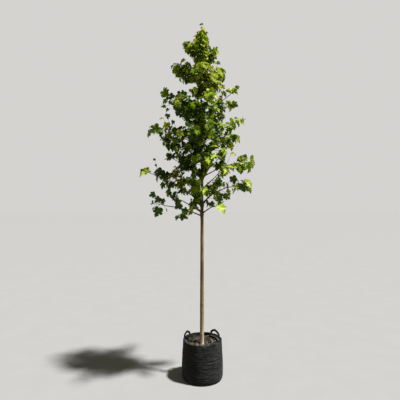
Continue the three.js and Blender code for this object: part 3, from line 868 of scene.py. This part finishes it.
def place_features():
    """The single leaves, each on the limb or shoot that is nearest."""
    global all_centres
    todo = []
    for k, row in enumerate(FEATURES):
        x, y, w, tint, turn = row[:5]
        if len(row) > 5:
            c = seen(x, y, row[5])
        else:
            best = (1e9, 0.0)
            for pts, _ in carriers:
                d = pts[:, 1] - CAM[1]
                px = 200.0 + FOCAL * (pts[:, 0] - CAM[0]) / d
                py = 200.0 + FOCAL * (CAM[2] - pts[:, 2]) / d
                gap = np.hypot(px - x, py - y) + 25.0 * np.abs(pts[:, 1])
                i = int(np.argmin(gap))
                if gap[i] < best[0]:
                    best = (gap[i], pts[i][1])
            c = seen(x, y, best[1] * 0.9 - 0.02)
        near = min(np.min(np.linalg.norm(pts - c, axis=1)) for pts, _ in carriers)
        todo.append((near, k, c, w, tint, turn))
    for near, k, c, w, tint, turn in sorted(todo, key=lambda q: q[0]):
        x, y = FEATURES[k][:2]
        width = w / FOCAL * (c[1] - CAM[1])
        a = math.radians(turn)
        tip_dir = unit(np.array([math.sin(a), -0.15 + rng.normal(0, 0.15), -math.cos(a)]))
        lit = tint in ("lime", "fresh", "olive")
        if lit:
            normal = np.array([rng.normal(0.15, 0.28), -0.64, 0.74 + rng.normal(0, 0.15)])
        else:
            normal = np.array([rng.normal(0, 0.32), -0.85, 0.10 + rng.normal(0, 0.18)])
        spot = c
        if in_sun_lane(c, width + 0.06):
            c = seen(x, y, c[1] - 0.10)
        base = c - tip_dir * width * 0.42
        best, at, who = 1e9, 0, None
        for pts, is_limb in carriers:
            d = np.linalg.norm(pts - base, axis=1) + 0.6 * np.clip(pts[:, 2] - base[2] - 0.05, 0, None)
            i = int(np.argmin(d))
            if d[i] < best:
                best, at, who = d[i], i, pts
        gap = np.linalg.norm(who[at] - base)
        start = who[at]
        if gap > 0.06:
            i, walk = at, 0.0
            while i > 0 and walk < gap * 0.7:
                walk += np.linalg.norm(who[i] - who[i - 1])
                i -= 1
            tang = unit(who[min(i + 2, len(who) - 1)] - who[max(i - 1, 0)])
            stop = base - (base - who[i]) * min(0.45, 0.045 / gap)
            line = shoot(who[i], tang, stop, 300 + k)
            carriers.append((line, False))
            start = line[-1]
        add_leaf(base, tip_dir, normal, width, tint, int(rng.integers(100)))
        add_stalk(start, base, UP * np.linalg.norm(base - start) * 0.12, 0.0013)
        all_centres = np.concatenate([all_centres, [spot]])


def grow_limb(limb, pts):
    """Places of the leaves on one limb, filling its mass."""
    length = limb.length()
    area = length * (limb.hw + limb.hh)
    want = max(4, int(round(area * DENSITY * density_at(limb.mass(0.5)[0][2]) * FULLER.get(limb.name, 1.0))))
    got = []
    tries = 0
    while len(got) < want and tries < want * 40:
        tries += 1
        u = rng.uniform(0.05, 0.98)
        c, t, side, up, a, b = limb.mass(u)
        th = rng.uniform(0, 2 * math.pi)
        rr = rng.uniform(0.05, 1.0) ** 0.42 * 0.92
        p = c + side * math.cos(th) * a * rr + up * math.sin(th) * b * rr
        x0, r0 = trunk_at(p[2])
        if math.hypot(p[0] - x0, p[1]) < 0.035:
            continue
        size = leaf_size(p)
        if is_open(p, size):
            continue
        gap = LEAF_GAP * size / 0.09
        near = all_centres if not got else np.concatenate([all_centres, np.array(got)])
        if len(near) and np.min(np.linalg.norm(near - p, axis=1)) < gap:
            continue
        got.append(p)
    if got:
        leaf_out(np.array(got), pts, np.array([0, 0, 3.4]) if limb.vertical else limb.p0, limb.number)


def grow_spray(k, x, y, rx, ry, count):
    """A few leaves of their own on the nearest limb, round the place that the camera sees at x, y."""
    best = (1e9, None, 0)
    for pts, is_limb in carriers:
        if not is_limb:
            continue
        d = pts[:, 1] - CAM[1]
        gap = np.hypot(200.0 + FOCAL * (pts[:, 0] - CAM[0]) / d - x, 200.0 + FOCAL * (CAM[2] - pts[:, 2]) / d - y) + 14.0 * np.abs(pts[:, 1])
        i = int(np.argmin(gap))
        if gap[i] < best[0]:
            best = (gap[i], pts, i)
    pts, at = best[1], best[2]
    got, tries = [], 0
    while len(got) < count and tries < count * 60:
        tries += 1
        a, q = rng.uniform(0, 2 * math.pi), math.sqrt(rng.random())
        p = seen(x + rx * q * math.cos(a), y + ry * q * math.sin(a), pts[at][1] * 0.9 + rng.normal(0, 0.045))
        near = all_centres if not got else np.concatenate([all_centres, np.array(got)])
        if is_open(p, leaf_size(p)) or np.min(np.linalg.norm(near - p, axis=1)) < LEAF_GAP * 0.5:
            continue
        got.append(p)
    if got:
        leaf_out(np.array(got), pts, pts[0], 50 + k)


def leaf_out(got, pts, home, number):
    """Shoots from a limb towards groups of leaves, and the leaves themselves."""
    global all_centres
    all_centres = np.concatenate([all_centres, got])
    k = max(1, int(round(len(got) / 5.5)))
    seeds = [got[int(rng.integers(len(got)))]]
    while len(seeds) < k:
        d = np.min(np.linalg.norm(got[:, None] - np.array(seeds)[None], axis=2), axis=1)
        seeds.append(got[int(np.argmax(d))])
    seeds = np.array(seeds)
    for _ in range(4):
        own = np.argmin(np.linalg.norm(got[:, None] - seeds[None], axis=2), axis=1)
        seeds = np.array([got[own == j].mean(0) if np.any(own == j) else seeds[j] for j in range(k)])
    own = np.argmin(np.linalg.norm(got[:, None] - seeds[None], axis=2), axis=1)
    for j in range(k):
        mine = got[own == j]
        if not len(mine):
            continue
        centre = mine.mean(0)
        far = mine[np.argmax(np.linalg.norm(mine - home, axis=1))]
        tip = centre * 0.45 + far * 0.55
        d = np.linalg.norm(pts - tip, axis=1)
        i = int(np.argmin(d))
        back = d[i] * 0.75
        walk = 0.0
        while i > 0 and walk < back:
            walk += np.linalg.norm(pts[i] - pts[i - 1])
            i -= 1
        root = pts[i]
        tang = unit(pts[min(i + 2, len(pts) - 1)] - pts[max(i - 1, 0)])
        if np.linalg.norm(tip - root) > 0.02:
            line = shoot(root, tang, tip, j * 2.3 + number)
        else:
            line = np.array([root, tip])
        skeleton = np.concatenate([line[len(line) // 3:], pts[max(i - 4, 0): i + 6]])
        tint = tint_of(centre)
        for c in mine:
            d = np.linalg.norm(skeleton - c, axis=1)
            cost = d + 0.35 * np.clip(skeleton[:, 2] - c[2], 0, None)
            node = skeleton[int(np.argmin(cost))]
            w = unit(c - node)
            x0, _ = trunk_at(c[2])
            out = unit(np.array([c[0] - x0, c[1], 0.0]))
            width = leaf_size(c) * float(np.clip(math.exp(rng.normal(-0.03, 0.31)), 0.48, 1.65))
            way = rng.random()
            if way < 0.34:  # a blade that hangs
                tip_dir = unit(0.35 * w + 0.30 * out - 0.95 * UP + rng.normal(0, 0.32, 3))
                normal = 0.90 * out + 0.05 * UP + rng.normal(0, 0.34, 3)
            elif way < 0.64:  # one that droops outwards
                tip_dir = unit(0.40 * w + 0.70 * out - 0.55 * UP + rng.normal(0, 0.30, 3))
                normal = 0.75 * UP + 0.55 * out + rng.normal(0, 0.32, 3)
            else:  # one held level
                tip_dir = unit(0.60 * w + 0.55 * out - 0.15 * UP + rng.normal(0, 0.30, 3))
                normal = 1.0 * UP + 0.12 * out + 0.10 * SUN + rng.normal(0, 0.38, 3)
            base = c - tip_dir * width * 0.40
            tone = tint
            roll = rng.random()
            if roll < 0.70:
                order = ["deep", "green", "fresh", "lime"]
                if tone in order:
                    q = order.index(tone) + int(rng.choice([-2, -1, 1, 2], p=[0.12, 0.33, 0.37, 0.18]))
                    tone = order[min(3, max(0, q))]
            if width < 0.042 and c[2] > 3.1 and rng.random() < 0.2:
                tone = "rust"
            which = int(rng.integers(100))
            if in_sun_lane(base + tip_dir * width * 0.45, width):
                continue
            add_leaf(base, tip_dir, normal, width, tone, which)
            gap = np.linalg.norm(base - node)
            start = node
            if gap > 0.085:
                knee = node + (base - node) * 0.5 + UP * gap * 0.06
                add_stalk(node, knee, UP * gap * 0.03, 0.0016, twigs, 5, 0.8, 4)
                start = knee
            add_stalk(start, base, UP * np.linalg.norm(base - start) * 0.16)


lines = {}
for limb in limbs + [leader]:
    lines[limb.name], stops = limb_line(limb)
    carriers.append((lines[limb.name], True))
    if not limb.vertical:
        limb_mesh(limb, lines[limb.name], stops)
tip_z = np.linspace(3.3, 4.004, 60)
carriers.append((np.stack([trunk_at(tip_z)[0], np.zeros(60), tip_z], axis=1), True))
place_features()
for limb in sorted(limbs, key=lambda b: b.hw * b.hh * b.length()):
    grow_limb(limb, lines[limb.name])
grow_limb(leader, lines["leader"])
for k, row in enumerate(SPRAYS):
    grow_spray(k, *row)

foliage_nodes = [n for n in NODES if n.startswith("foliage_")]
bough_nodes = [n for n in NODES if n.startswith("bough_")]

limb_obj = limb_heap.build("limbs_bark", TWIG)
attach(limb_obj, "root")
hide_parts(*bough_nodes)
twig_obj = twigs.build("twigs", TWIG)
stalk_obj = stalks.build("leaf_stalks", STALK)
for o in (twig_obj, stalk_obj):
    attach(o, "root")
total = 0
for tone, heap in blades.items():
    if not heap.n:
        continue
    o = heap.build("leaves_" + tone, LEAF_MATS[tone])
    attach(o, "root")
    total += heap.count()
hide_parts(*foliage_nodes)
print("leaves", leaf_count, "triangles", total, "per leaf", len(LEAF_TRIS), "twigs", twigs.count(), "stalks", stalks.count(), "limbs", limb_heap.count())


# ------------------------------------------------------------------ bag
PROFILE_OUT = np.array([  # radius, height of the bag's outer face, over the rim and down its inner face
    [0, 0], [95, 0], [188, 0], [202, 1.0], [212.5, 3.2], [221, 8], [227, 16], [229.8, 27], [230.6, 42], [231, 80], [231, 120],
    [229.5, 200], [226.5, 270], [223, 340], [220.5, 385], [219.3, 415], [218.6, 430], [217.6, 437.0], [215.2, 439.0], [213.2, 436.0],
    [212.8, 428], [213.2, 412], [214.6, 385], [217.0, 350],
]) * MM
RIM_AT = 18  # the row of that table at the top of the rim


def bag_noise(a, z):
    """The cloth's wrinkles at an angle and a height: fine level creases over soft swellings."""
    cx, cy = math.cos(a) * 0.22, math.sin(a) * 0.22
    fine = noise.noise(Vector((cx * 9, cy * 9, z * 62)))
    fine2 = noise.noise(Vector((cx * 24 + 7, cy * 24, z * 120)))
    ridge = 1 - abs(noise.noise(Vector((cx * 7 + 3, cy * 7, z * 44 + 5)))) * 2.2
    ridge2 = 1 - abs(noise.noise(Vector((cx * 15 + 8, cy * 15, z * 70 + 2)))) * 2.2
    broad = noise.noise(Vector((cx * 9 + 2, cy * 9 + 2, z * 9 + 2)))
    wide = noise.noise(Vector((cx * 3.6 + 9, cy * 3.6 + 1, z * 3.6 + 4)))
    creased = 0.45 + 0.55 * max(0.0, noise.noise(Vector((cx * 5 + 1, cy * 5, z * 6 + 8))) + 0.45)
    return creased * (0.0016 * fine + 0.0007 * fine2 + 0.0019 * ridge + 0.0010 * ridge2) + 0.0026 * broad + 0.0030 * wide


def bag_mesh():
    sides = 400
    d = np.concatenate([[0], np.cumsum(np.linalg.norm(np.diff(PROFILE_OUT, axis=0), axis=1))])
    s = np.unique(np.concatenate([np.linspace(0, d[-1], 230), d]))[1:]
    r = np.interp(s, d, PROFILE_OUT[:, 0])
    z = np.interp(s, d, PROFILE_OUT[:, 1])
    k = np.ones(5) / 5
    r[2:-2] = np.convolve(r, k, "same")[2:-2]
    z[2:-2] = np.maximum(np.convolve(z, k, "same")[2:-2], 0)
    ang = np.arange(sides) / sides * 2 * np.pi
    rim = d[RIM_AT]
    out = np.zeros((len(s), sides))
    rise = np.zeros((len(s), sides))
    for i, si in enumerate(s):
        outside = si < rim
        up = float(np.clip((z[i] - 0.010) / 0.05, 0, 1))
        near_rim = float(np.clip((z[i] - 0.395) / 0.04, 0, 1))
        for j, a in enumerate(ang):
            cx, cy = math.cos(a) * 0.22, math.sin(a) * 0.22
            frill = noise.noise(Vector((cx * 26, cy * 26, 1.7)))
            frill2 = noise.noise(Vector((cx * 9, cy * 9, 4.1)))
            v = bag_noise(a, z[i]) * up + near_rim * (0.0022 * frill + 0.0022 * frill2)
            if not outside:
                v = v * 1.3 - 0.002
            out[i, j] = v
            rise[i, j] = near_rim * (0.0035 * frill2 + 0.0030 * frill - 0.004 * max(0.0, -math.sin(a)) ** 2)
    rr = np.maximum(r[:, None] + out, 0.001)
    zz = np.broadcast_to(z[:, None], rr.shape) + rise
    v = np.stack([rr * np.cos(ang), rr * np.sin(ang), zz], axis=-1)
    n = len(s)
    verts = np.concatenate([v.reshape(-1, 3), [[0, 0, 0.0]]])
    k = np.arange(sides)
    first = np.stack([np.full(sides, n * sides), (k + 1) % sides, k], axis=1)
    return make_object("bag_shell", verts, [grid_quads(n, sides), first], CLOTH)


bag = bag_mesh()
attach(bag, "root")
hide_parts("bag_wall", "bag_base")


def thick_sheet(name, grid, thick, mat):
    """A closed thin sheet from a grid of points."""
    rows, cols, _ = grid.shape
    du = np.gradient(grid, axis=0)
    dv = np.gradient(grid, axis=1)
    nrm = unit(np.cross(du, dv))
    top = (grid + nrm * thick / 2).reshape(-1, 3)
    low = (grid - nrm * thick / 2).reshape(-1, 3)
    q = grid_quads(rows, cols, closed=False)
    n = rows * cols
    a = np.arange(n).reshape(rows, cols)
    edge = np.concatenate([a[0, :], a[1:, -1], a[-1, -2::-1], a[-2:0:-1, 0]])
    nxt = np.roll(edge, -1)
    side = np.stack([edge, nxt, nxt + n, edge + n], axis=1)
    o = make_object(name, np.concatenate([top, low]), [np.concatenate([q[:, ::-1], q + n, side])], mat)
    # faces point out
    import bmesh
    bm = bmesh.new()
    bm.from_mesh(o.data)
    bmesh.ops.recalc_face_normals(bm, faces=bm.faces)
    bm.to_mesh(o.data)
    bm.free()
    return o


def flap(name, first, last, reach, seed, mat, fall=0.010, deep=1.0):
    """Loose cloth at the rim, folded in over the soil between two angles."""
    cols, rows = 110, 26
    grid = np.zeros((rows, cols, 3))
    for j in range(cols):
        t = j / (cols - 1)
        a = math.radians(first + (last - first) * t)
        wide = math.sin(math.pi * t) ** 0.6
        edge = reach * wide * (0.85 + 0.35 * noise.noise(Vector((t * 5, seed, 0))) + 0.18 * noise.noise(Vector((t * 17, seed, 3)))) + 0.003
        for i in range(rows):
            v = i / (rows - 1)
            fold = deep * (0.0055 * noise.noise(Vector((t * 20, v * 1.3 + seed, 1))) + 0.0035 * noise.noise(Vector((t * 9, v * 3.2 + seed, 7))))
            r = 0.2125 - edge * v
            x, y = r * math.cos(a), r * math.sin(a)
            z = 0.4335 - fall * v**0.5 - 0.010 * v - 0.006 * math.sin(math.pi * v) + fold * math.sin(math.pi * min(1.0, v * 1.2 + 0.1) * 0.5 + 0.2) * 1.6
            curl = 0.004 * math.exp(-(((v - 1) / 0.12) ** 2)) * (0.5 + noise.noise(Vector((t * 12, seed, 5))))
            z = z + curl - 0.004 * max(0.0, -math.sin(a))
            grid[i, j] = (x, y, max(z, soil_height(x, y) + 0.004))
    o = thick_sheet(name, grid, 0.0016, mat)
    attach(o, "root")


def hem(name, first, last, r, z, size, seed):
    """The doubled edge of a flap, a soft roll that lies along it."""
    t = np.linspace(0, 1, 60)
    a = np.radians(first + (last - first) * t)
    bend = np.array([noise.noise(Vector((k * 2.4, seed, 0))) for k in t])
    lift = np.array([noise.noise(Vector((k * 3.1, seed, 4))) for k in t])
    rr = r + 0.006 * bend + 0.018 * (np.abs(t - 0.5) * 2) ** 4
    pts = np.stack([rr * np.cos(a), rr * np.sin(a), z + 0.004 * lift - 0.003 * np.abs(t - 0.5)], axis=1)
    v, q4, t3 = tube(pts, size * (1 - 0.75 * (np.abs(t - 0.5) * 2) ** 3), sides=14)
    v[:, 2] = z + 0.58 * (v[:, 2] - z)
    # its pale cloth is partly a painted highlight on the fold's crest
    o = make_object(name, v, [q4, t3], CLOTH_HEM_GREYER_AND_PAINTED_HIGHLIGHT)
    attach(o, "root")


# ------------------------------------------------------------------ handles
def catmull(points, n):
    p = np.asarray(points, dtype=float)
    p = np.concatenate([[2 * p[0] - p[1]], p, [2 * p[-1] - p[-2]]])
    out = []
    for i in range(1, len(p) - 2):
        for t in np.linspace(0, 1, n, endpoint=False):
            a, b, c, d = p[i - 1], p[i], p[i + 1], p[i + 2]
            out.append(0.5 * (2 * b + (c - a) * t + (2 * a - 5 * b + 4 * c - d) * t**2 + (3 * b - a - 3 * c + d) * t**3))
    out.append(p[-2])
    return np.array(out)


def handle_mesh(name, first, second, crown, rise, node, twist):
    rim_r, rim_z = 0.218, 0.437
    down = 0.052

    def at(angle, z, r):
        a = math.radians(angle)
        return np.array([r * math.cos(a), r * math.sin(a), z])

    def lerp(a, b, t):
        return a + (b - a) * t

    out = rim_r + 0.0055
    sewn = out + 0.0005
    line = catmull([
        at(first, rim_z - down, sewn + 0.002), at(first, rim_z - down * 0.45, sewn + 0.001), at(first, rim_z + 0.003, out + 0.001),
        at(lerp(first, crown, 0.45), rim_z + rise * 0.62, out), at(lerp(first, crown, 0.8), rim_z + rise * 0.95, out - 0.002),
        at(crown, rim_z + rise, out - 0.002), at(lerp(crown, second, 0.7), rim_z + rise * 0.62, out),
        at(second, rim_z + 0.003, out + 0.001), at(second, rim_z - down * 0.45, sewn + 0.001), at(second, rim_z - down, sewn + 0.002),
    ], 16)
    along = unit(np.gradient(line, axis=0))
    face = unit(line * np.array([1, 1, 0]))
    across = unit(np.cross(along, face))
    face = unit(np.cross(across, along))
    n, sides = len(line), 24
    share = np.linspace(0, 1, n)
    turn = (twist * np.exp(-(((share - 0.34) / 0.10) ** 2)))[:, None]
    across, face = across * np.cos(turn) + face * np.sin(turn), face * np.cos(turn) - across * np.sin(turn)
    ends = np.clip(np.minimum(share, 1 - share) / 0.16, 0, 1)
    ends = ends * ends * (3 - 2 * ends)
    half_w = np.full(n, 0.0125)
    half_t = lerp(0.0022, 0.0042, ends)
    ang = np.arange(sides) / sides * 2 * np.pi
    cs = np.sign(np.cos(ang)) * np.abs(np.cos(ang)) ** 0.6
    sn = np.sign(np.sin(ang)) * np.abs(np.sin(ang)) ** 0.6
    rib = 1 + 0.04 * np.sin(np.arange(n) * 1.9)[:, None] * np.ones(sides)
    crease = 1 - 0.30 * np.exp(-((ang - math.pi / 2) / 0.35) ** 2)[None] * ends[:, None]
    v = line[:, None] + (cs[None] * half_w[:, None] * rib)[..., None] * across[:, None] + (sn[None] * half_t[:, None] * rib * crease)[..., None] * face[:, None]
    v = v + (np.clip(1 - ends, 0, 1) * -0.0012)[:, None, None] * face[:, None]
    verts = np.concatenate([v.reshape(-1, 3), line[:1], line[-1:]])
    k = np.arange(sides)
    a = np.stack([np.full(sides, n * sides), (k + 1) % sides, k], axis=1)
    b = np.stack([np.full(sides, n * sides + 1), (n - 1) * sides + k, (n - 1) * sides + (k + 1) % sides], axis=1)
    o = make_object(name, verts, [grid_quads(n, sides), np.concatenate([a, b])], STRAP)
    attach(o, "root")
    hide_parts(node)
    return o


handle_mesh("strap_left", 157, 132, 143, 0.035, "handle_left", 0.175)
handle_mesh("strap_right", 31, 62, 50, 0.039, "handle_right", -0.524)


# ------------------------------------------------------------------ soil
CRACK = ((-0.036, 0.046), (-0.139, 0.158))  # where the root ball has shrunk open
# the hollows are dents in the soil which its colour also paints dark, as shade
HOLLOWS = [(0.052, 0.090, 0.018), (0.084, 0.022, 0.016), (0.136, 0.022, 0.017), (-0.156, 0.040, 0.012)]  # x, y, radius
PALE = [(-0.084, -0.034, 0.045), (-0.030, -0.066, 0.050), (-0.115, 0.110, 0.034), (-0.070, 0.135, 0.032), (0.110, 0.070, 0.030)]


def crack_at(x, y):
    """How deep in the crack or in a hollow a place is, from 0 to 1."""
    (ax, ay), (bx, by) = CRACK
    dx, dy = bx - ax, by - ay
    t = ((x - ax) * dx + (y - ay) * dy) / (dx * dx + dy * dy)
    c = min(1.0, max(0.0, t))
    wob = 0.004 * noise.noise(Vector((c * 6, 2.0, 1.0)))
    d = math.hypot(x - ax - c * dx + wob, y - ay - c * dy - wob)
    deep = math.exp(-((d / (0.0100 + 0.0060 * math.exp(-(((c - 0.14) / 0.16) ** 2)))) ** 4))
    for hx, hy, hr in HOLLOWS:
        deep = max(deep, math.exp(-((math.hypot(x - hx, y - hy) / hr) ** 4)))
    return deep


def soil_height(x, y):
    r = math.hypot(x, y)
    base = np.interp(r, [0, 0.033, 0.09, 0.15, 0.214], [0.374, 0.374, 0.381, 0.387, 0.392])
    p = Vector((x, y, 0))
    lumps = 0.006 * noise.noise(p * 20) + 0.004 * noise.noise(p * 48) + 0.0018 * noise.noise(p * 130)
    return base + lumps * min(1.0, r / 0.03) - 0.011 * crack_at(x, y)


def soil_mesh():
    rings, sides = 100, 240
    r = np.linspace(0.004, 0.2118, rings)
    ang = np.arange(sides) / sides * 2 * np.pi
    v = np.zeros((rings + 1, sides, 3))
    for i in range(rings):
        for j, a in enumerate(ang):
            x, y = r[i] * math.cos(a), r[i] * math.sin(a)
            v[i, j] = (x, y, soil_height(x, y))
    v[rings] = v[rings - 1]
    v[rings, :, 2] = 0.352
    verts = np.concatenate([v.reshape(-1, 3), [[0, 0, 0.374]], [[0, 0, 0.352]]])
    k = np.arange(sides)
    c = (rings + 1) * sides
    first = np.stack([np.full(sides, c), k, (k + 1) % sides], axis=1)
    last = np.stack([np.full(sides, c + 1), rings * sides + (k + 1) % sides, rings * sides + k], axis=1)
    q = grid_quads(rings + 1, sides)[:, ::-1]
    o = make_object("soil_top", verts, [q, np.concatenate([first, last])], SOIL)
    # how deep in the crack or a hollow each point lies; the soil's colour turns it into painted shade
    deep = o.data.attributes.new("deep", "FLOAT", "POINT")
    deep.data.foreach_set("value", np.array([crack_at(x, y) for x, y, _ in verts], dtype=np.float32))
    return o


soil = soil_mesh()
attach(soil, "root")
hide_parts("root_ball")


def chip(rng, big=1.0):
    """A splinter of bark: a rough flat disc with its corners pushed about."""
    g = rng.choice([0.7, 1.1, 1.7], p=[0.42, 0.36, 0.22]) * big
    size = np.array([rng.uniform(0.009, 0.020), rng.uniform(0.004, 0.009), rng.uniform(0.0016, 0.0042)]) * g
    n = 8
    ang = np.arange(n) / n * 2 * np.pi
    ring = np.stack([np.cos(ang), np.sin(ang)], axis=1) * rng.uniform(0.7, 1.12, (n, 1))
    low = np.concatenate([ring * 0.8, np.full((n, 1), -1.0)], axis=1)
    mid = np.concatenate([ring, rng.uniform(-0.4, 0.4, (n, 1))], axis=1)
    high = np.concatenate([ring * 0.7, rng.uniform(0.6, 1.2, (n, 1))], axis=1)
    v = np.concatenate([low, mid, high, [[0, 0, -1]], [[0, 0, 1]]]) * size
    q = grid_quads(3, n)
    k = np.arange(n)
    t = np.concatenate([
        np.stack([np.full(n, 3 * n), (k + 1) % n, k], axis=1),
        np.stack([np.full(n, 3 * n + 1), 2 * n + k, 2 * n + (k + 1) % n], axis=1),
    ])
    return v, q, t


def clod(rng):
    """A crumb of peat."""
    size = rng.uniform(0.006, 0.019) * np.array([rng.uniform(0.9, 1.3), rng.uniform(0.8, 1.1), rng.uniform(0.45, 0.7)])
    rows, cols = 7, 12
    off = rng.uniform(0, 50)
    v = []
    for i in range(1, rows):
        th = math.pi * i / rows
        for j in range(cols):
            ph = 2 * math.pi * j / cols
            p = Vector((math.sin(th) * math.cos(ph), math.sin(th) * math.sin(ph), math.cos(th)))
            k = 1 + 0.45 * noise.noise(p * 1.6 + Vector((off, 0, 0))) + 0.16 * noise.noise(p * 4.5 + Vector((0, off, 0)))
            v.append(tuple(p * k))
    v = np.array(v + [(0, 0, 1.0), (0, 0, -1.0)]) * size
    q = grid_quads(rows - 1, cols)
    k = np.arange(cols)
    m = (rows - 1) * cols
    t = np.concatenate([
        np.stack([np.full(cols, m), k, (k + 1) % cols], axis=1),
        np.stack([np.full(cols, m + 1), m - cols + (k + 1) % cols, m - cols + k], axis=1),
    ])
    return v, q[:, ::-1], t


def mulch():
    rng = np.random.default_rng(5)
    heaps = {k: Heap() for k in CHIP_MATS}
    for i in range(1250):
        r = 0.202 * math.sqrt(rng.random())
        a = rng.uniform(0, 2 * math.pi)
        x, y = r * math.cos(a), r * math.sin(a)
        if r < 0.033:
            continue
        lump = rng.random() < 0.30
        v, q, t = clod(rng) if lump else chip(rng)
        half = 0.75 * np.abs(v[:, :2]).max()
        if max(crack_at(x + half * a, y + half * b) for a, b in ((0, 0), (1, 0), (-1, 0), (0, 1), (0, -1))) > 0.25:
            continue
        yaw, pitch = rng.uniform(0, 2 * math.pi), 0.0 if lump else rng.normal(0, 0.38)
        c, s = math.cos(yaw), math.sin(yaw)
        cp, sp = math.cos(pitch), math.sin(pitch)
        R = np.array([[c, -s, 0], [s, c, 0], [0, 0, 1]]) @ np.array([[cp, 0, -sp], [0, 1, 0], [sp, 0, cp]])
        v = v @ R.T + np.array([x, y, soil_height(x, y) + (rng.uniform(-0.002, 0.003) if lump else rng.uniform(0.0, 0.005))])
        out = np.hypot(v[:, 0], v[:, 1]).max()
        if out > 0.2105:
            v[:, :2] *= 0.2105 / out
        patch = noise.noise(Vector((x * 11, y * 11, 2.0)))
        if any(math.hypot(x - a, y - b) < c for a, b, c in PALE):
            patch = 1.0
        tone = rng.choice(["dark", "brown"], p=[0.7, 0.3]) if lump else rng.choice(["dark", "brown", "grey"], p=[0.16, 0.34, 0.50] if patch > 0.5 else [0.36, 0.40, 0.24] if patch > -0.05 else [0.62, 0.30, 0.08])
        heaps[tone].add(v, q, t)
    for tone, heap in heaps.items():
        o = heap.build("mulch_" + tone, CHIP_MATS[tone], smooth=False)
        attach(o, "root")


mulch()
# the flaps wear the darker copy of the cloth, which paints shade on them
flap("bag_flap_right", -16, 66, 0.042, 3.0, CLOTH_PAINTED_SHADE)
hem("bag_hem_right", -8, 62, 0.1765, 0.4190, 0.0100, 2.0)
flap("bag_flap_low", -66, -2, 0.066, 6.5, CLOTH_PAINTED_SHADE, 0.016, 1.5)
flap("bag_flap_left", 146, 210, 0.060, 9.0, CLOTH_PAINTED_SHADE, 0.014, 1.4)
hem("bag_hem_left", 172, 210, 0.184, 0.4170, 0.0090, 5.0)


# ------------------------------------------------------------------ floor and light
def floor():
    m = Mat("floor_pale")
    n = m.noise(3.0, 5.0, 0.5)
    m.set(Base_Color=m.ramp(n, (0.35, srgb(147, 148.5, 153)), (0.65, srgb(149, 150.5, 155))), Roughness=0.9)
    m.bsdf.inputs["Specular IOR Level"].default_value = 0.1
    mesh = bpy.data.meshes.new("floor")
    s = 60.0
    mesh.from_pydata([(-s, -s, -0.0005), (s, -s, -0.0005), (s, s, -0.0005), (-s, s, -0.0005)], [], [(0, 1, 2, 3)])
    mesh.materials.append(m.m)
    o = bpy.data.objects.new("floor", mesh)
    bpy.context.scene.collection.objects.link(o)
    o.visible_diffuse = False  # the fill comes from the world alone, evenly


floor()

sun_data = bpy.data.lights.new("sun", "SUN")
sun_data.energy = 7.2
sun_data.angle = math.radians(4.5)
sun_data.color = (1.0, 0.965, 0.89)
sun = bpy.data.objects.new("sun", sun_data)
sun.rotation_mode = "QUATERNION"
sun.rotation_quaternion = Vector(SUN).to_track_quat("Z", "Y")
bpy.context.scene.collection.objects.link(sun)

# a dim even fill, with a pale backdrop
world = bpy.data.worlds.new("studio")
world.use_nodes = True
wt = world.node_tree
fill = wt.nodes["Background"]
fill.inputs["Color"].default_value = (1.0, 0.94, 0.70, 1.0)
fill.inputs["Strength"].default_value = 0.160
pale = wt.nodes.new("ShaderNodeBackground")
pale.inputs["Color"].default_value = (0.66, 0.65, 0.635, 1.0)
pale.inputs["Strength"].default_value = 1.0
path = wt.nodes.new("ShaderNodeLightPath")
both = wt.nodes.new("ShaderNodeMixShader")
wt.links.new(path.outputs["Is Camera Ray"], both.inputs[0])
wt.links.new(fill.outputs[0], both.inputs[1])
wt.links.new(pale.outputs[0], both.inputs[2])
wt.links.new(both.outputs[0], wt.nodes["World Output"].inputs["Surface"])
bpy.context.scene.world = world
bpy.context.scene.view_settings.view_transform = "Standard"
